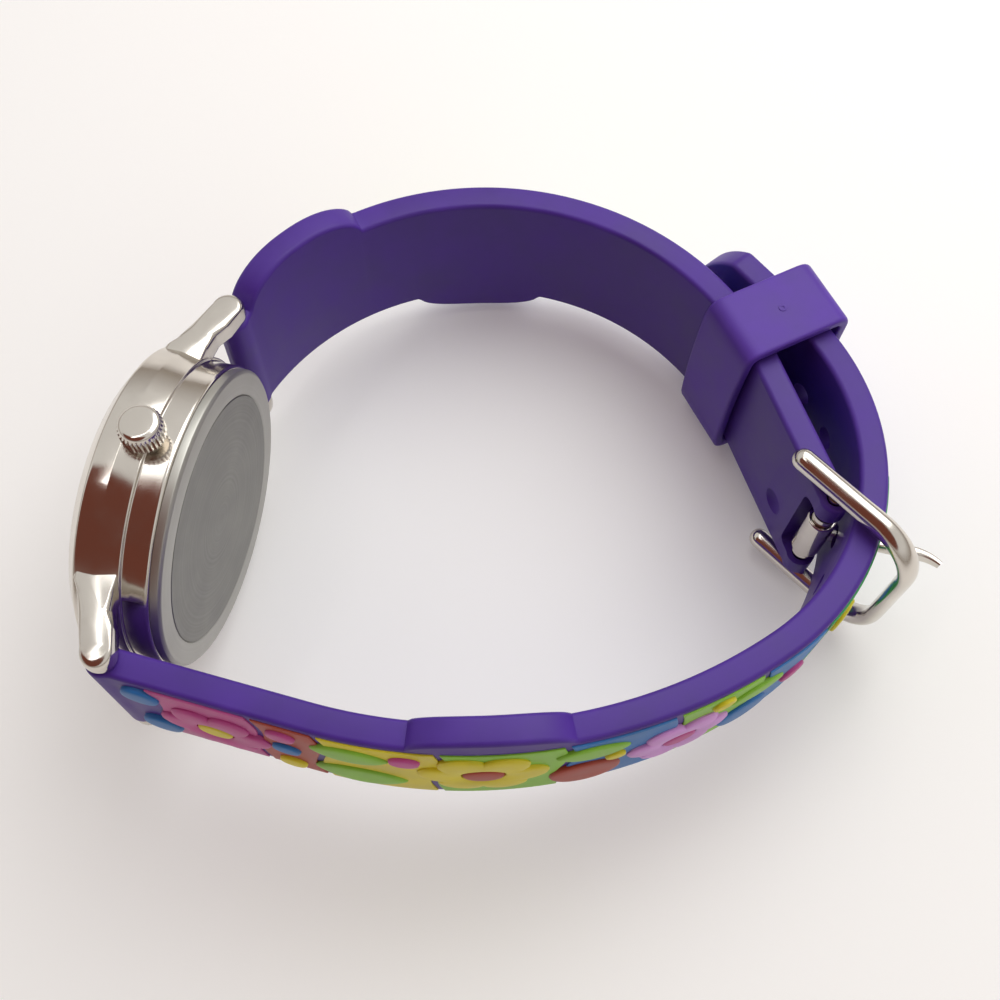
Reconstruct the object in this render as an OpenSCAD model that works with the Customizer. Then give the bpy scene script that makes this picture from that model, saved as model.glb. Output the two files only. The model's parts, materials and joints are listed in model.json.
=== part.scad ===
// Child's quartz wrist watch with a soft strap, buckled and lying on its side.
// The watch is drawn with the middle of the case back's outer face at the origin:
// X runs out of the back towards the buckle, Y towards twelve o'clock, Z towards the crown.
// It is then tipped to lie on its case band, its buckle and the lobe of its buckle strap.

/* [Case] */
// Radius of the flat outer face of the case back
back_r = 14.8; // [13.5:0.1:17]
// Bevel round the edge of the case back
back_bevel = 0.3; // [0.1:0.05:0.5]
// Thickness of the case back
back_t = 1.0; // [0.8:0.05:1.2]
// Depth of the case back's snap rim inside the case
rim_depth = 1.6; // [1.2:0.1:1.9]
// Lip of the rear drum outside the case back
drum_lip = 0.2; // [0.1:0.05:0.5]
// Step from the rear drum out to the front band
band_step = 0.7; // [0.4:0.1:1]
// Distance from the case back's face to the front band
band_back = 3.6; // [3:0.1:4.5]
// Whole depth of the case from back to crystal
case_depth = 9.2; // [9:0.1:11]
// Wall of the rear drum
case_wall = 1.85; // [1.6:0.05:2.2]
// Height of the sloping bezel
bezel_h = 1.4; // [0.8:0.1:2]
// How far the bezel slopes inwards
bezel_slope = 2.1; // [1.2:0.1:2.4]
// Metal rim left round the crystal
bezel_rim = 0.6; // [0.4:0.05:0.9]

/* [Lugs] */
// Gap between the lugs beyond the strap, on each side
lug_gap = 0.2; // [0.1:0.05:0.4]
// Width of one lug along the spring bar
lug_w = 2.6; // [2:0.1:3.2]
// Radius of the rounded lug tip
lug_tip_r = 1.5; // [1.2:0.1:1.8]
// Spring bar beyond the case band
bar_reach = 2.3; // [2:0.1:3]
// Spring bar in front of the case back's face
bar_depth = 3.4; // [3:0.1:4]

/* [Crystal and dial] */
// Thickness of the crystal
crystal_t = 1.0; // [0.8:0.05:1.2]
// Width of the crystal's gasket
crystal_gasket_w = 0.35; // [0.2:0.05:0.5]
// Ledge that carries the crystal
crystal_ledge = 0.9; // [0.6:0.05:1.1]
// Room for the hands between dial and crystal
hand_room = 1.6; // [1.4:0.05:1.8]
// Thickness of the dial
dial_t = 0.4; // [0.3:0.05:0.5]
// Length of the hour hand from its centre
hour_hand_len = 6.2; // [5:0.1:7]
// Length of the minute hand from its centre
minute_hand_len = 9.2; // [8:0.1:10]
// Length of the second hand from its centre
second_hand_len = 10.2; // [8:0.1:11]

/* [Movement] */
// Wall of the plastic ring that holds the movement
holder_wall = 2.6; // [2:0.1:3]
// Height of the wheels under the dial
motion_h = 0.7; // [0.65:0.05:0.8]
// Thickness of the main plate
plate_t = 0.7; // [0.6:0.05:0.8]
// Height from one train wheel to the next
level_pitch = 0.7; // [0.6:0.02:0.72]
// Thickness of the train bridge
bridge_t = 0.6; // [0.4:0.05:0.7]
// Thickness of a train wheel
wheel_t = 0.3; // [0.2:0.02:0.4]
// Tooth module of the going train
train_module = 0.1; // [0.09:0.002:0.105]
// Distance from the centre to the minute wheel
motion_reach = 3.12; // [2.9:0.02:3.3]
// Radius of the button cell
cell_r = 3.4; // [2.9:0.05:3.4]
// Height of the button cell
cell_h = 2.6; // [1.6:0.05:2.7]

/* [Crown] */
// Radius of the crown over its fluting
crown_r = 2.05; // [1.8:0.05:2.5]
// Height of the crown
crown_h = 2.4; // [2:0.1:3]
// Number of flutes round the crown
crown_flutes = 30; // [20:1:40]
// Gap between the crown and the case band
crown_gap = 0.3; // [0.2:0.05:0.5]
// Travel of the crown when it is pulled to set the hands
crown_pull = 1.0; // [0.6:0.1:1.2]
// Radius of the winding stem
stem_r = 0.5; // [0.4:0.02:0.55]

/* [Strap] */
// Width of the strap
strap_w = 16; // [14:0.5:18]
// Thickness of the strap
strap_t = 2.8; // [2.4:0.1:3]
// Height of the coloured inlays above the strap
inlay_t = 0.5; // [0.3:0.05:0.8]
// Plain border of the strap beside the inlays
inlay_border = 0.7; // [0.5:0.1:1.5]
// Inner radius of the bent buckle strap
buckle_strap_r = 27.9; // [26:0.1:30]
// Direction in which the buckle strap leaves the lugs
buckle_strap_leave = 75; // [72:0.5:78]
// Bend of the buckle strap
buckle_strap_bend = 133.5; // [131:0.5:136]
// Straight end of the buckle strap, up to its bar
buckle_strap_end = 16; // [15:0.1:18]
// Direction in which the tail strap leaves the lugs
tail_leave = -2.6; // [-5:0.1:0]
// Straight start of the tail strap
tail_start = 18.7; // [16:0.1:21]
// Inner radius of the tail strap where it goes round the wrist's far side
tail_r = 22.5; // [21.5:0.1:23.5]
// Angle at which the bent tail ends
tail_end_deg = 52; // [48:0.5:56]
// Straight tip of the tail strap
tip_len = 13; // [11:0.1:16]
// Radius of the tail's round tip
tip_round = 9.6; // [9.2:0.1:14]
// Radius of the adjusting holes
hole_r = 1.25; // [1.2:0.05:1.5]
// Distance from one adjusting hole to the next
hole_pitch = 6; // [5:0.1:6.4]
// Height of the lobe beside the lugs above the strap's edge
lug_lobe_h = 3; // [2:0.1:3.5]
// Length of that lobe along the strap
lug_lobe_len = 15.5; // [12:0.1:18]
// Height of the two other lobes
side_lobe_h = 2.45; // [1.5:0.05:3]
// Length of the two other lobes
side_lobe_len = 14.6; // [12:0.1:17]

/* [Buckle] */
// Radius of the buckle's wire
wire_r = 1.1; // [0.9:0.05:1.3]
// Gap between the buckle's arms and the strap's edge
arm_gap = 0.5; // [0.4:0.05:1]
// Arm behind the buckle's bar
arm_back = 4.5; // [3.5:0.1:6]
// Front bar's distance from the buckle's bar
buckle_reach = 9.6; // [9.4:0.1:12]
// Radius of the bends at the buckle's front
buckle_bend_r = 5; // [3:0.1:7]
// Direction of the buckle's arms
buckle_deg = -33; // [-40:0.5:-30]
// Straight length of the tang
tang_len = 10.2; // [9:0.1:11]
// Radius of the tang's bent tip
tang_tip_r = 5; // [4:0.1:6]
// Bend of the tang's tip
tang_tip_bend = 30; // [20:1:45]
// Width of the tang
tang_w = 1.6; // [1.2:0.05:1.7]
// Thickness of the tang
tang_t = 1.0; // [0.8:0.05:1.1]
// Direction of the tang
tang_deg = -3; // [-5:0.5:0]
// Lift of the resting tang over the hole's direction
tang_lift = 2.5; // [0:0.5:3]
// Radius of the tang's rolled eye on the bar
tang_eye_r = 1.5; // [1.4:0.05:1.6]
// Width of the tang's rolled eye
tang_eye_w = 6.8; // [5:0.1:8]

/* [Keeper] */
// Wall of the keeper
keeper_wall = 1.15; // [0.9:0.05:1.4]
// Width of the keeper along the strap
keeper_w = 7.7; // [6:0.1:9]
// Place of the keeper round the bend of the buckle strap
keeper_deg = 39; // [38.5:0.1:44]
// Play between the keeper and the tail's outer face
keeper_play = 0.32; // [0.3:0.02:0.8]
// Gap between the keeper and the strap's edges
keeper_gap = 0.55; // [0.3:0.05:0.8]

/* [Fits] */
// Radial clearance of what turns or slides
run_fit = 0.05; // [0.03:0.01:0.08]
// Radial clearance of what is pressed together
press_fit = 0.02; // [0.01:0.01:0.03]
// Clearance of what seats loosely
seat_fit = 0.15; // [0.1:0.05:0.2]
// Clearance between the tail and the buckle's bar
loop_gap = 0.6; // [0.5:0.05:0.9]

/* [Hidden] */
$fn = 64;
steel = "#bdb3a5";
brass = "#b59a55";
purple = "#5e3f98";

// A hair of extra length for cuts, so that no cut ends on a face
over = 0.5;

function polar(centre, r, a) = centre + r * [cos(a), sin(a)];
function heading(v) = atan2(v[1], v[0]);

// Case radii, worked outwards from the case back and inwards from the bezel
flange_r = back_r + back_bevel;
drum_r = flange_r + drum_lip;
band_r = drum_r + band_step;
bore_r = drum_r - case_wall;
bezel_r = band_r - bezel_slope;
seat_r = bezel_r - bezel_rim;
crystal_r = seat_r - crystal_gasket_w;
ledge_r = seat_r - crystal_ledge;
rim_r = bore_r - run_fit;
rim_t = 0.8;
band_chamfer = 0.3;
gasket_w = 0.6;
gasket_h = 0.5;
gasket_r = (bore_r + drum_r) / 2;
back_ring_r = back_r - 2.2;
back_ring_w = 0.2;
back_ring_depth = 0.12;

// Depths in the case, from the crystal (negative) to the back (zero)
front = -case_depth;
crystal_back = front + crystal_t;
dial_front = crystal_back + hand_room;
dial_back = dial_front + dial_t;
plate_front = dial_back + motion_h;
plate_back = plate_front + plate_t;
bridge_front = plate_back + 3 * level_pitch + run_fit * 2;
bridge_back = bridge_front + bridge_t;
rim_end = -back_t - rim_depth;
function level(k) = plate_back + 0.2 + (k - 1) * level_pitch;

// Hands and their pipes
hand_t = 0.15;
hand_step = hand_room / 4;
second_arbor_r = 0.3;
minute_pipe_bore = second_arbor_r + run_fit;
minute_pipe_r = minute_pipe_bore + 0.3;
hour_pipe_bore = minute_pipe_r + run_fit;
hour_pipe_r = hour_pipe_bore + 0.25;
dial_hole_r = hour_pipe_r + seat_fit;
hour_hand_w = dial_front - hand_step;
minute_hand_w = dial_front - 2 * hand_step;
second_hand_w = dial_front - 3 * hand_step;
// Rest position of the hands: nine minutes and thirty-five seconds past ten
shown_hour = 10;
shown_minute = 9;
shown_second = 35;
second_deg = 6 * shown_second;
minute_deg = 6 * (shown_minute + shown_second / 60);
hour_deg = 30 * (shown_hour + minute_deg / 360);
marker_len = 1.8;
marker_w = 0.7;
marker_h = 0.2;
marker_r = ledge_r - 1.6;

// Tooth counts and arbors of the going train and of the motion work
second_pinion = 8;
third_teeth = 60;
third_pinion = 8;
centre_teeth = 64;
second_teeth = 60;
fifth_pinion = 10;
fifth_teeth = 40;
rotor_pinion = 8;
cannon_teeth = 12;
minute_teeth = 36;
minute_pinion = 10;
hour_teeth = 40;
addendum = 0.8;
dedendum = 1.1;
tooth_steps = [-0.28, -0.11, 0.11, 0.28];
third_deg = 150;
fifth_deg = 30;
motion_deg = 90;
third_reach = train_module * (second_pinion + third_teeth) / 2;
fifth_reach = train_module * (second_teeth + fifth_pinion) / 2;
rotor_reach = train_module * (fifth_teeth + rotor_pinion) / 2;
centre_module = 2 * third_reach / (third_pinion + centre_teeth);
cannon_module = 2 * motion_reach / (cannon_teeth + minute_teeth);
hour_module = 2 * motion_reach / (minute_pinion + hour_teeth);
third_at = polar([0, 0], third_reach, third_deg);
fifth_at = polar([0, 0], fifth_reach, fifth_deg);
rotor_at = polar(fifth_at, rotor_reach, fifth_deg);
minute_at = polar([0, 0], motion_reach, motion_deg);
pivot_r = 0.15;
arbor_r = 0.25;
pinion_t = wheel_t + 0.1;
rotor_r = 1.0;
minute_post_r = 0.25;
motion_wheel_t = motion_h * 0.36;
cannon_w = plate_front - run_fit - motion_wheel_t;
hour_wheel_w = dial_back + motion_h * 0.14;

// Plate, holder and what is fixed on the plate
holder_r = bore_r - seat_fit;
holder_bore = holder_r - holder_wall;
plate_r = holder_bore - run_fit;
post_r = 0.6;
screw_r = 0.4;
screw_head_r = 0.9;
screw_head_h = 0.4;
post_at = [[-6.2, -1.9], [5.6, -2.2], [2.4, 5.0]];
bridge_r = 7.2;
bridge_low = -2.9;
bridge_high = 5.6;
cell_at = [0, seat_fit * 2 - plate_r + cell_r];
clip_t = 0.2;
clip_w = 2.4;
board_t = 0.4;
board_in = norm(post_at[0]) + post_r + seat_fit;
board_out = plate_r - 0.4;
board_from = 150;
board_to = 215;
quartz_r = 0.7;
quartz_len = 5;
quartz_u = 0.3 - board_out + 2 * quartz_r;
coil_r = 1.0;
coil_len = 6.2;
coil_core_r = 0.5;
coil_core_len = 8.2;
coil_u = plate_r - 2.4;
coil_v = -1.5;
stator_t = 0.4;
stator_ring = 0.7;
stator_leg = 2.2;

// Crown, stem and tube, along the crown's axis
crown_w = plate_back + 0.9;
crown_in = band_r + crown_gap;
crown_out = crown_in + crown_h;
tube_bore = stem_r + run_fit;
tube_r = tube_bore + 0.5;
tube_out = crown_in + crown_pull;
recess_r = tube_r + 0.2;
recess_end = tube_out + 0.3;
stem_in = 4.6;
stem_out = recess_end + 0.5;
clutch_in = 5.2;
clutch_out = 6.2;
clutch_r = 0.85;
groove_in = 7.4;
groove_out = 7.9;
groove_r = 0.3;
flute_depth = 0.14;
crown_cap_h = 0.35;

// Strap bars
bar_r = 0.8;
bar_tip_r = 0.4;
bar_flange_r = 0.5;
bar_flange_len = 1.5;
bar_lip = 0.3;
tip_reach = 1.1;
lug_in = strap_w / 2 + lug_gap;
lug_bar_half = lug_in - seat_fit;
lug_hole_depth = tip_reach + seat_fit;
barrel_wall = 0.8;
barrel_r = bar_r + run_fit + barrel_wall;
twelve_at = [-bar_depth, band_r + bar_reach];
six_at = [-bar_depth, -band_r - bar_reach];
lug_root_y = band_r - 5;
lug_root_front = front + bezel_h;
lug_root_back = -band_back - band_chamfer;

// Buckle strap: one bend from the lugs, then straight to the buckle's bar
buckle_mid = buckle_strap_r + strap_t / 2;
bend_at = polar(twelve_at, buckle_mid, buckle_strap_leave - 90);
bend_from = buckle_strap_leave + 90;
bend_to = bend_from - buckle_strap_bend;
bend_end = polar(bend_at, buckle_mid, bend_to);
bar_at = polar(bend_end, buckle_strap_end, bend_to - 90);
notch_half = 4.6;
notch_len = 3.2;
bend_steps = 48;
lobe_inset = 0.2;
lug_lobe_deg = 146.5;
far_lobe_deg = 105;

// Tail strap: straight, a wide bend, a tight bend round the buckle's bar, straight tip.
// The wide bend's radius is the one that touches both the straight and the tight bend.
tail_mid = tail_r + strap_t / 2;
tail_at = polar(bar_at, tang_eye_r + loop_gap - tail_r, tang_deg);
tail_bend_start = polar(six_at, tail_start, tail_leave);
tail_normal = [-sin(tail_leave), cos(tail_leave)];
tail_offset = tail_bend_start - tail_at;
wide_mid = (tail_mid * tail_mid - tail_offset * tail_offset) / (2 * (tail_offset * tail_normal + tail_mid));
wide_at = tail_bend_start + wide_mid * tail_normal;
wide_from = tail_leave - 90;
wide_to = heading(tail_at - wide_at);
tip_at = polar(tail_at, tail_mid, tail_end_deg);
tail_lobe_deg = -74.5;
hole_step = hole_pitch / tail_mid * 180 / PI;
hole_first = -2;
hole_last = 3;

// Lengths along the tail to the ends of its runs
wide_s = tail_start;
tight_s = wide_s + wide_mid * (wide_to - wide_from) * PI / 180;
tail_outline_r = strap_w / 2 - inlay_border;

// How far the tail's outer face lies from the centre of the buckle strap's bend, in one direction
function tail_reach(deg) =
    let (between = tail_at - bend_at, along = between * [cos(deg), sin(deg)])
    along + sqrt(pow(tail_mid + strap_t / 2, 2) - between * between + along * along);

// Buckle, tang and keeper
arm_z = strap_w / 2 + arm_gap + wire_r;
arm_len = buckle_reach - buckle_bend_r;
buckle_bar_half = arm_z - wire_r - seat_fit;
collar_r = 1.15;
collar_from = tang_eye_w / 2 + seat_fit;
collar_to = notch_half - run_fit * 2;
keeper_in = buckle_strap_r - seat_fit;
keeper_low = keeper_deg - asin(keeper_w / 2 / keeper_in);
keeper_out = tail_reach(keeper_low) + keeper_play;
keeper_room = keeper_out - keeper_in;
keeper_half_h = strap_w / 2 + keeper_gap + keeper_wall;
keeper_sweep = 40;

// Coloured motifs of the tail: which of its three runs, place along that run and size as shares
// of the run's length, and place across the strap between them
tight_len = tail_mid * (tail_end_deg - wide_to) * PI / 180;
run_start = [0, wide_s, tight_s];
run_len = [tail_start, tight_s - wide_s, tight_len];
tail_flowers_pink = [[0, 0.513, -0.4, 0.289]];
tail_flowers_yellow = [[1, 0.354, 1, 0.132]];
tail_flowers_lilac = [[1, 0.763, -0.6, 0.114]];
tail_leaves = [[1, 0.103, -3.4, 0.097], [1, 0.09, 3.9, 0.079], [1, 0.57, 4.2, 0.075], [1, 0.93, 3.4, 0.066]];
tail_red_dots = [[1, 0.565, -3, 0.075]];
tail_blue_dots = [
    [0, 0.182, 5, 0.096], [0, 0.182, -4.6, 0.107], [1, 0.926, -3.4, 0.062], [0, 0.888, 0.2, 0.075],
    [2, 0.338, -4, 0.045]
];
tail_pink_dots = [[2, 0.044, 0, 0.036], [1, 0.2, 4.6, 0.031], [0, 0.888, 4.8, 0.075]];
tail_yellow_dots = [
    [1, 0.62, 1.2, 0.022], [1, 0.842, 5.4, 0.026], [0, 0.888, -5, 0.075], [2, 0.187, 4, 0.045]
];
// Coloured motifs of the buckle strap: place along it, place across it, size
buckle_flowers_pink = [[16, 0.6, 5.4]];
buckle_flowers_blue = [[37, -0.4, 5.4]];
buckle_leaves = [[7.2, 0.6, 3.8], [26.4, -3.2, 4.2], [27, 4, 3.6], [46.8, 3, 4]];
buckle_yellow_dots = [[46.6, -3.8, 2.6], [30.2, 0.8, 1.2], [9.8, -5.2, 1.4]];
buckle_pink_dots = [[54, 0, 2.8], [42.8, 5.2, 1.2]];
petals = 6;
petal_reach = 0.6;
petal_size = 0.4;
flower_eye = 0.32;
leaf_slim = 0.55;

// The watch lies on three points: the rear edge of the case band, the buckle's lower arm
// and the lower lobe of the buckle strap. Roll and lean put all three on one level.
rest_band_x = -band_back;
rest_lobe = polar(bend_at, buckle_mid, far_lobe_deg);
rest_lobe_z = -strap_w / 2 - side_lobe_h;
rest_arm = polar(bar_at, arm_len, buckle_deg);
rest_arm_z = -arm_z - wire_r;
lobe_run = rest_lobe[0] - rest_band_x;
arm_run = rest_arm[0] - rest_band_x;
roll_sine = rest_lobe[1] * arm_run - rest_arm[1] * lobe_run;
roll_cosine = rest_lobe_z * arm_run - rest_arm_z * lobe_run;
roll_level = band_r * (arm_run - lobe_run);
roll = asin(-roll_level / norm([roll_sine, roll_cosine])) - atan2(roll_cosine, roll_sine);
lean = atan((rest_arm[1] * sin(roll) + rest_arm_z * cos(roll) + band_r) / arm_run);

echo(roll = roll, lean = lean, twelve_at = twelve_at, six_at = six_at, bar_at = bar_at);
echo(bend_at = bend_at, bend_to = bend_to, tail_at = tail_at, wide_at = wide_at, wide_mid = wide_mid);
echo(wide_to = wide_to, tip_at = tip_at, tight_s = tight_s, crown_w = crown_w, hole_step = hole_step);
echo(third_at = third_at, fifth_at = fifth_at, rotor_at = rotor_at, minute_at = minute_at);

// Frames: the watch as it lies, and its head drawn with the case axis upright
module lying() {
    rotate([roll, lean, 0]) children();
}

module head() {
    lying() rotate([90, 0, 90]) children();
}

// Shared shapes
module rod(r, from, to) {
    translate([0, 0, from]) cylinder(r = r, h = to - from);
}

module ring(r_in, r_out, from, to) {
    rotate_extrude() translate([r_in, from]) square([r_out - r_in, to - from]);
}

module stem_rod(r, from, to) {
    translate([0, from, crown_w]) rotate([-90, 0, 0]) cylinder(r = r, h = to - from);
}

function tooth_r(teeth, module_size, k) =
    module_size * (teeth / 2 + (k == 0 || k == 3 ? -dedendum : addendum));

function gear_outline(teeth, module_size) = [
    for (i = [0 : teeth - 1], k = [0 : 3])
        polar([0, 0], tooth_r(teeth, module_size, k), (i + tooth_steps[k]) * 360 / teeth)
];

// A gear with a tooth, or a gap, facing the given direction
module gear(teeth, module_size, from, thick, facing, gap = false) {
    translate([0, 0, from])
        rotate(facing + (gap ? 180 / teeth : 0))
            linear_extrude(thick) polygon(gear_outline(teeth, module_size));
}

// Case
module case_ring() {
    difference() {
        rotate_extrude() polygon([
            [bore_r, -back_t], [drum_r, -back_t], [drum_r, -band_back],
            [band_r - band_chamfer, -band_back], [band_r, -band_back - band_chamfer],
            [band_r, front + bezel_h], [bezel_r, front], [seat_r, front],
            [seat_r, crystal_back], [ledge_r, crystal_back], [ledge_r, dial_front], [bore_r, dial_front]
        ]);
        ring(gasket_r - gasket_w / 2, gasket_r + gasket_w / 2, -back_t - gasket_h, over - back_t);
        stem_rod(tube_r, bore_r - over * 2, drum_r + over * 2);
    }
}

function touch(centre, r, from, side) =
    polar(centre, r, heading(from - centre) + side * acos(r / norm(from - centre)));

module lug_plan() {
    front_root = [lug_root_front, lug_root_y];
    back_root = [lug_root_back, lug_root_y];
    translate(twelve_at) circle(lug_tip_r);
    polygon([
        front_root, touch(twelve_at, lug_tip_r, front_root, -1), twelve_at,
        touch(twelve_at, lug_tip_r, back_root, 1), back_root
    ]);
}

module lug() {
    difference() {
        translate([0, 0, lug_in]) linear_extrude(lug_w) lug_plan();
        translate([twelve_at[0], twelve_at[1], lug_in - over])
            cylinder(r = bar_tip_r + run_fit, h = lug_hole_depth + over);
        rotate([90, 0, 90]) rod(band_r - case_wall / 2, front - over, over);
    }
}

module case_body() {
    color(steel) lying() {
        rotate([90, 0, 90]) case_ring();
        for (flip_y = [0, 1], flip_z = [0, 1])
            mirror([0, flip_y, 0]) mirror([0, 0, flip_z]) lug();
    }
}

module case_back() {
    ring_in = back_ring_r - back_ring_w / 2;
    ring_out = back_ring_r + back_ring_w / 2;
    color("#8c8c86") head() rotate_extrude() polygon([
        [0, 0], [ring_in, 0], [ring_in, -back_ring_depth], [ring_out, -back_ring_depth], [ring_out, 0],
        [back_r, 0], [flange_r, -back_bevel], [flange_r, -back_t], [rim_r, -back_t], [rim_r, rim_end],
        [rim_r - rim_t, rim_end], [rim_r - rim_t, -back_t], [0, -back_t]
    ]);
}

module back_gasket() {
    color("#222222") head()
        ring(gasket_r - gasket_w / 2, gasket_r + gasket_w / 2, -back_t - gasket_h, -back_t);
}

module crystal() {
    color("#dfe8ee") head() rod(crystal_r, front, crystal_back);
}

module crystal_gasket() {
    color("#e8e8e4") head() ring(crystal_r, seat_r, front, crystal_back);
}

// Dial and hands
module dial() {
    color("#f2efe6") head() ring(dial_hole_r, bore_r - seat_fit, dial_front, dial_back);
}

module hour_markers() {
    color("#3f55b0") head()
        for (hour = [0 : 11]) rotate(30 * hour)
            translate([marker_r - marker_len / 2, -marker_w / 2, dial_front - marker_h])
                cube([marker_len, marker_w, marker_h]);
}

module hand(length, tail, width, hole_r, boss_r, depth, deg) {
    translate([0, 0, depth - hand_t]) rotate(deg) linear_extrude(hand_t) difference() {
        union() {
            circle(boss_r);
            polygon([[-tail, -width / 2], [length, -width / 5], [length, width / 5], [-tail, width / 2]]);
        }
        circle(hole_r);
    }
}

module hour_hand() {
    color("#a03a60") head()
        hand(hour_hand_len, 2, 1.1, hour_pipe_r + press_fit, hour_pipe_r + 0.5, hour_hand_w, hour_deg);
}

module minute_hand() {
    color("#3f7fb5") head()
        hand(minute_hand_len, 2.2, 0.9, minute_pipe_r + press_fit, minute_pipe_r + 0.5,
            minute_hand_w, minute_deg);
}

module second_hand() {
    color("#d8cf2f") head()
        hand(second_hand_len, 3, 0.4, second_arbor_r + press_fit, second_arbor_r + 0.5,
            second_hand_w, second_deg);
}

// Movement
module movement_holder() {
    color("#d9d9d4") head() difference() {
        ring(holder_bore, holder_r, dial_back, rim_end);
        stem_rod(stem_r + seat_fit, holder_bore - over * 2, holder_r + over * 2);
        translate([-stem_r - seat_fit, holder_bore - over * 2, crown_w])
            cube([2 * (stem_r + seat_fit), holder_wall + over * 4, over - crown_w]);
    }
}

module main_plate() {
    color(brass) head() difference() {
        union() {
            rod(plate_r, plate_front, plate_back);
            translate(minute_at) rod(minute_post_r, dial_back + run_fit, plate_back);
            for (p = post_at) translate(p) rod(post_r, plate_back, bridge_front);
        }
        rod(minute_pipe_r + run_fit, plate_front - over, plate_back + over);
        for (p = [third_at, fifth_at, rotor_at])
            translate(p) rod(pivot_r + run_fit, plate_front - over, plate_back + over);
        for (p = post_at) translate(p) rod(screw_r + press_fit, plate_front - over, bridge_front + over);
    }
}

module train_bridge() {
    color(brass) head() difference() {
        intersection() {
            rod(bridge_r, bridge_front, bridge_back);
            translate([-bridge_r, bridge_low, bridge_front - over])
                cube([2 * bridge_r, bridge_high - bridge_low, bridge_t + 2 * over]);
        }
        for (p = [[0, 0], third_at, fifth_at, rotor_at])
            translate(p) rod(pivot_r + run_fit, bridge_front - over, bridge_back + over);
        for (p = post_at) translate(p) rod(screw_r + press_fit, bridge_front - over, bridge_back + over);
    }
}

module bridge_screws() {
    color(steel) head() for (p = post_at) translate(p) {
        rod(screw_r, plate_back, bridge_back);
        rod(screw_head_r, bridge_back, bridge_back + screw_head_h);
    }
}

module circuit_board() {
    color("#2f6b45") head() rotate(board_from)
        rotate_extrude(angle = board_to - board_from)
            translate([board_in, plate_back]) square([board_out - board_in, board_t]);
}

module quartz_can() {
    color(steel) head()
        translate([quartz_u, -quartz_len / 2, plate_back + board_t + quartz_r])
            rotate([-90, 0, 0]) cylinder(r = quartz_r, h = quartz_len);
}

module coil() {
    color("#a8632e") head() translate([coil_u, coil_v, plate_back + stator_t + coil_core_r])
        rotate([-90, 0, 0]) {
            cylinder(r = coil_r - run_fit * 2, h = coil_len, center = true);
            cylinder(r = coil_core_r, h = coil_core_len, center = true);
        }
}

module stator() {
    leg_end = coil_v + coil_len / 2 + run_fit * 2;
    color(steel) head() difference() {
        union() {
            translate(rotor_at) rod(rotor_r + run_fit * 3 + stator_ring, plate_back, plate_back + stator_t);
            translate([rotor_at[0], leg_end, plate_back])
                cube([coil_u + coil_core_r - rotor_at[0], stator_leg, stator_t]);
        }
        translate(rotor_at) rod(rotor_r + run_fit * 3, plate_back - over, plate_back + stator_t + over);
    }
}

module button_cell() {
    color(steel) head() translate(cell_at) rod(cell_r, plate_back, plate_back + cell_h);
}

module cell_clip() {
    clip_half = cell_r + seat_fit + clip_t;
    clip_top = plate_back + cell_h;
    color("#c9c4b8") head() translate([cell_at[0] - clip_half, cell_at[1] - clip_w / 2, 0]) {
        translate([0, 0, clip_top]) cube([2 * clip_half, clip_w, clip_t]);
        for (u = [0, 2 * clip_half - clip_t])
            translate([u, 0, plate_back]) cube([clip_t, clip_w, clip_top - plate_back]);
    }
}

// Going train
module second_wheel() {
    color(brass) head() {
        rod(second_arbor_r, second_hand_w - hand_t, level(2));
        gear(second_pinion, train_module, level(2) - pinion_t / 4, pinion_t, third_deg);
        rod(arbor_r, level(2), level(3) + wheel_t);
        gear(second_teeth, train_module, level(3), wheel_t, fifth_deg);
        rod(pivot_r, level(3), bridge_back - run_fit);
    }
}

module third_wheel() {
    color(brass) head() translate(third_at) {
        rod(pivot_r, plate_front + run_fit, bridge_back - run_fit);
        gear(third_pinion, centre_module, level(1) - pinion_t / 4, pinion_t, third_deg + 180);
        rod(arbor_r, level(1), level(2) + wheel_t);
        gear(third_teeth, train_module, level(2), wheel_t, third_deg + 180, true);
    }
}

module centre_wheel() {
    color(brass) head() difference() {
        union() {
            gear(centre_teeth, centre_module, level(1), wheel_t, third_deg, true);
            rod(minute_pipe_r, minute_hand_w - hand_t, level(1) + wheel_t);
            gear(cannon_teeth, cannon_module, cannon_w, motion_wheel_t, motion_deg);
        }
        rod(minute_pipe_bore, minute_hand_w - hand_t - over, level(1) + wheel_t + over);
    }
}

module fifth_wheel() {
    color("#f0e9d8") head() translate(fifth_at) {
        rod(pivot_r, plate_front + run_fit, bridge_back - run_fit);
        gear(fifth_teeth, train_module, level(2), wheel_t, fifth_deg);
        rod(arbor_r, level(2), level(3) + wheel_t);
        gear(fifth_pinion, train_module, level(3) - pinion_t / 4, pinion_t, fifth_deg + 180, true);
    }
}

module rotor() {
    color("#6a6a70") head() translate(rotor_at) {
        rod(pivot_r, plate_front + run_fit, bridge_back - run_fit);
        rod(rotor_r, plate_back + run_fit * 2, level(2) - run_fit * 3);
        gear(rotor_pinion, train_module, level(2) - pinion_t / 4, pinion_t, fifth_deg + 180, true);
    }
}

// Motion work under the dial
module minute_wheel() {
    color(brass) head() translate(minute_at) difference() {
        union() {
            gear(minute_teeth, cannon_module, cannon_w, motion_wheel_t, motion_deg + 180, true);
            gear(minute_pinion, hour_module, hour_wheel_w, cannon_w - hour_wheel_w, motion_deg + 180);
        }
        rod(minute_post_r + run_fit, hour_wheel_w - over, plate_front + over);
    }
}

module hour_wheel() {
    color(brass) head() difference() {
        union() {
            gear(hour_teeth, hour_module, hour_wheel_w, motion_wheel_t, motion_deg, true);
            rod(hour_pipe_r, hour_hand_w - hand_t, hour_wheel_w + motion_wheel_t);
        }
        rod(hour_pipe_bore, hour_hand_w - hand_t - over, hour_wheel_w + motion_wheel_t + over);
    }
}

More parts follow.
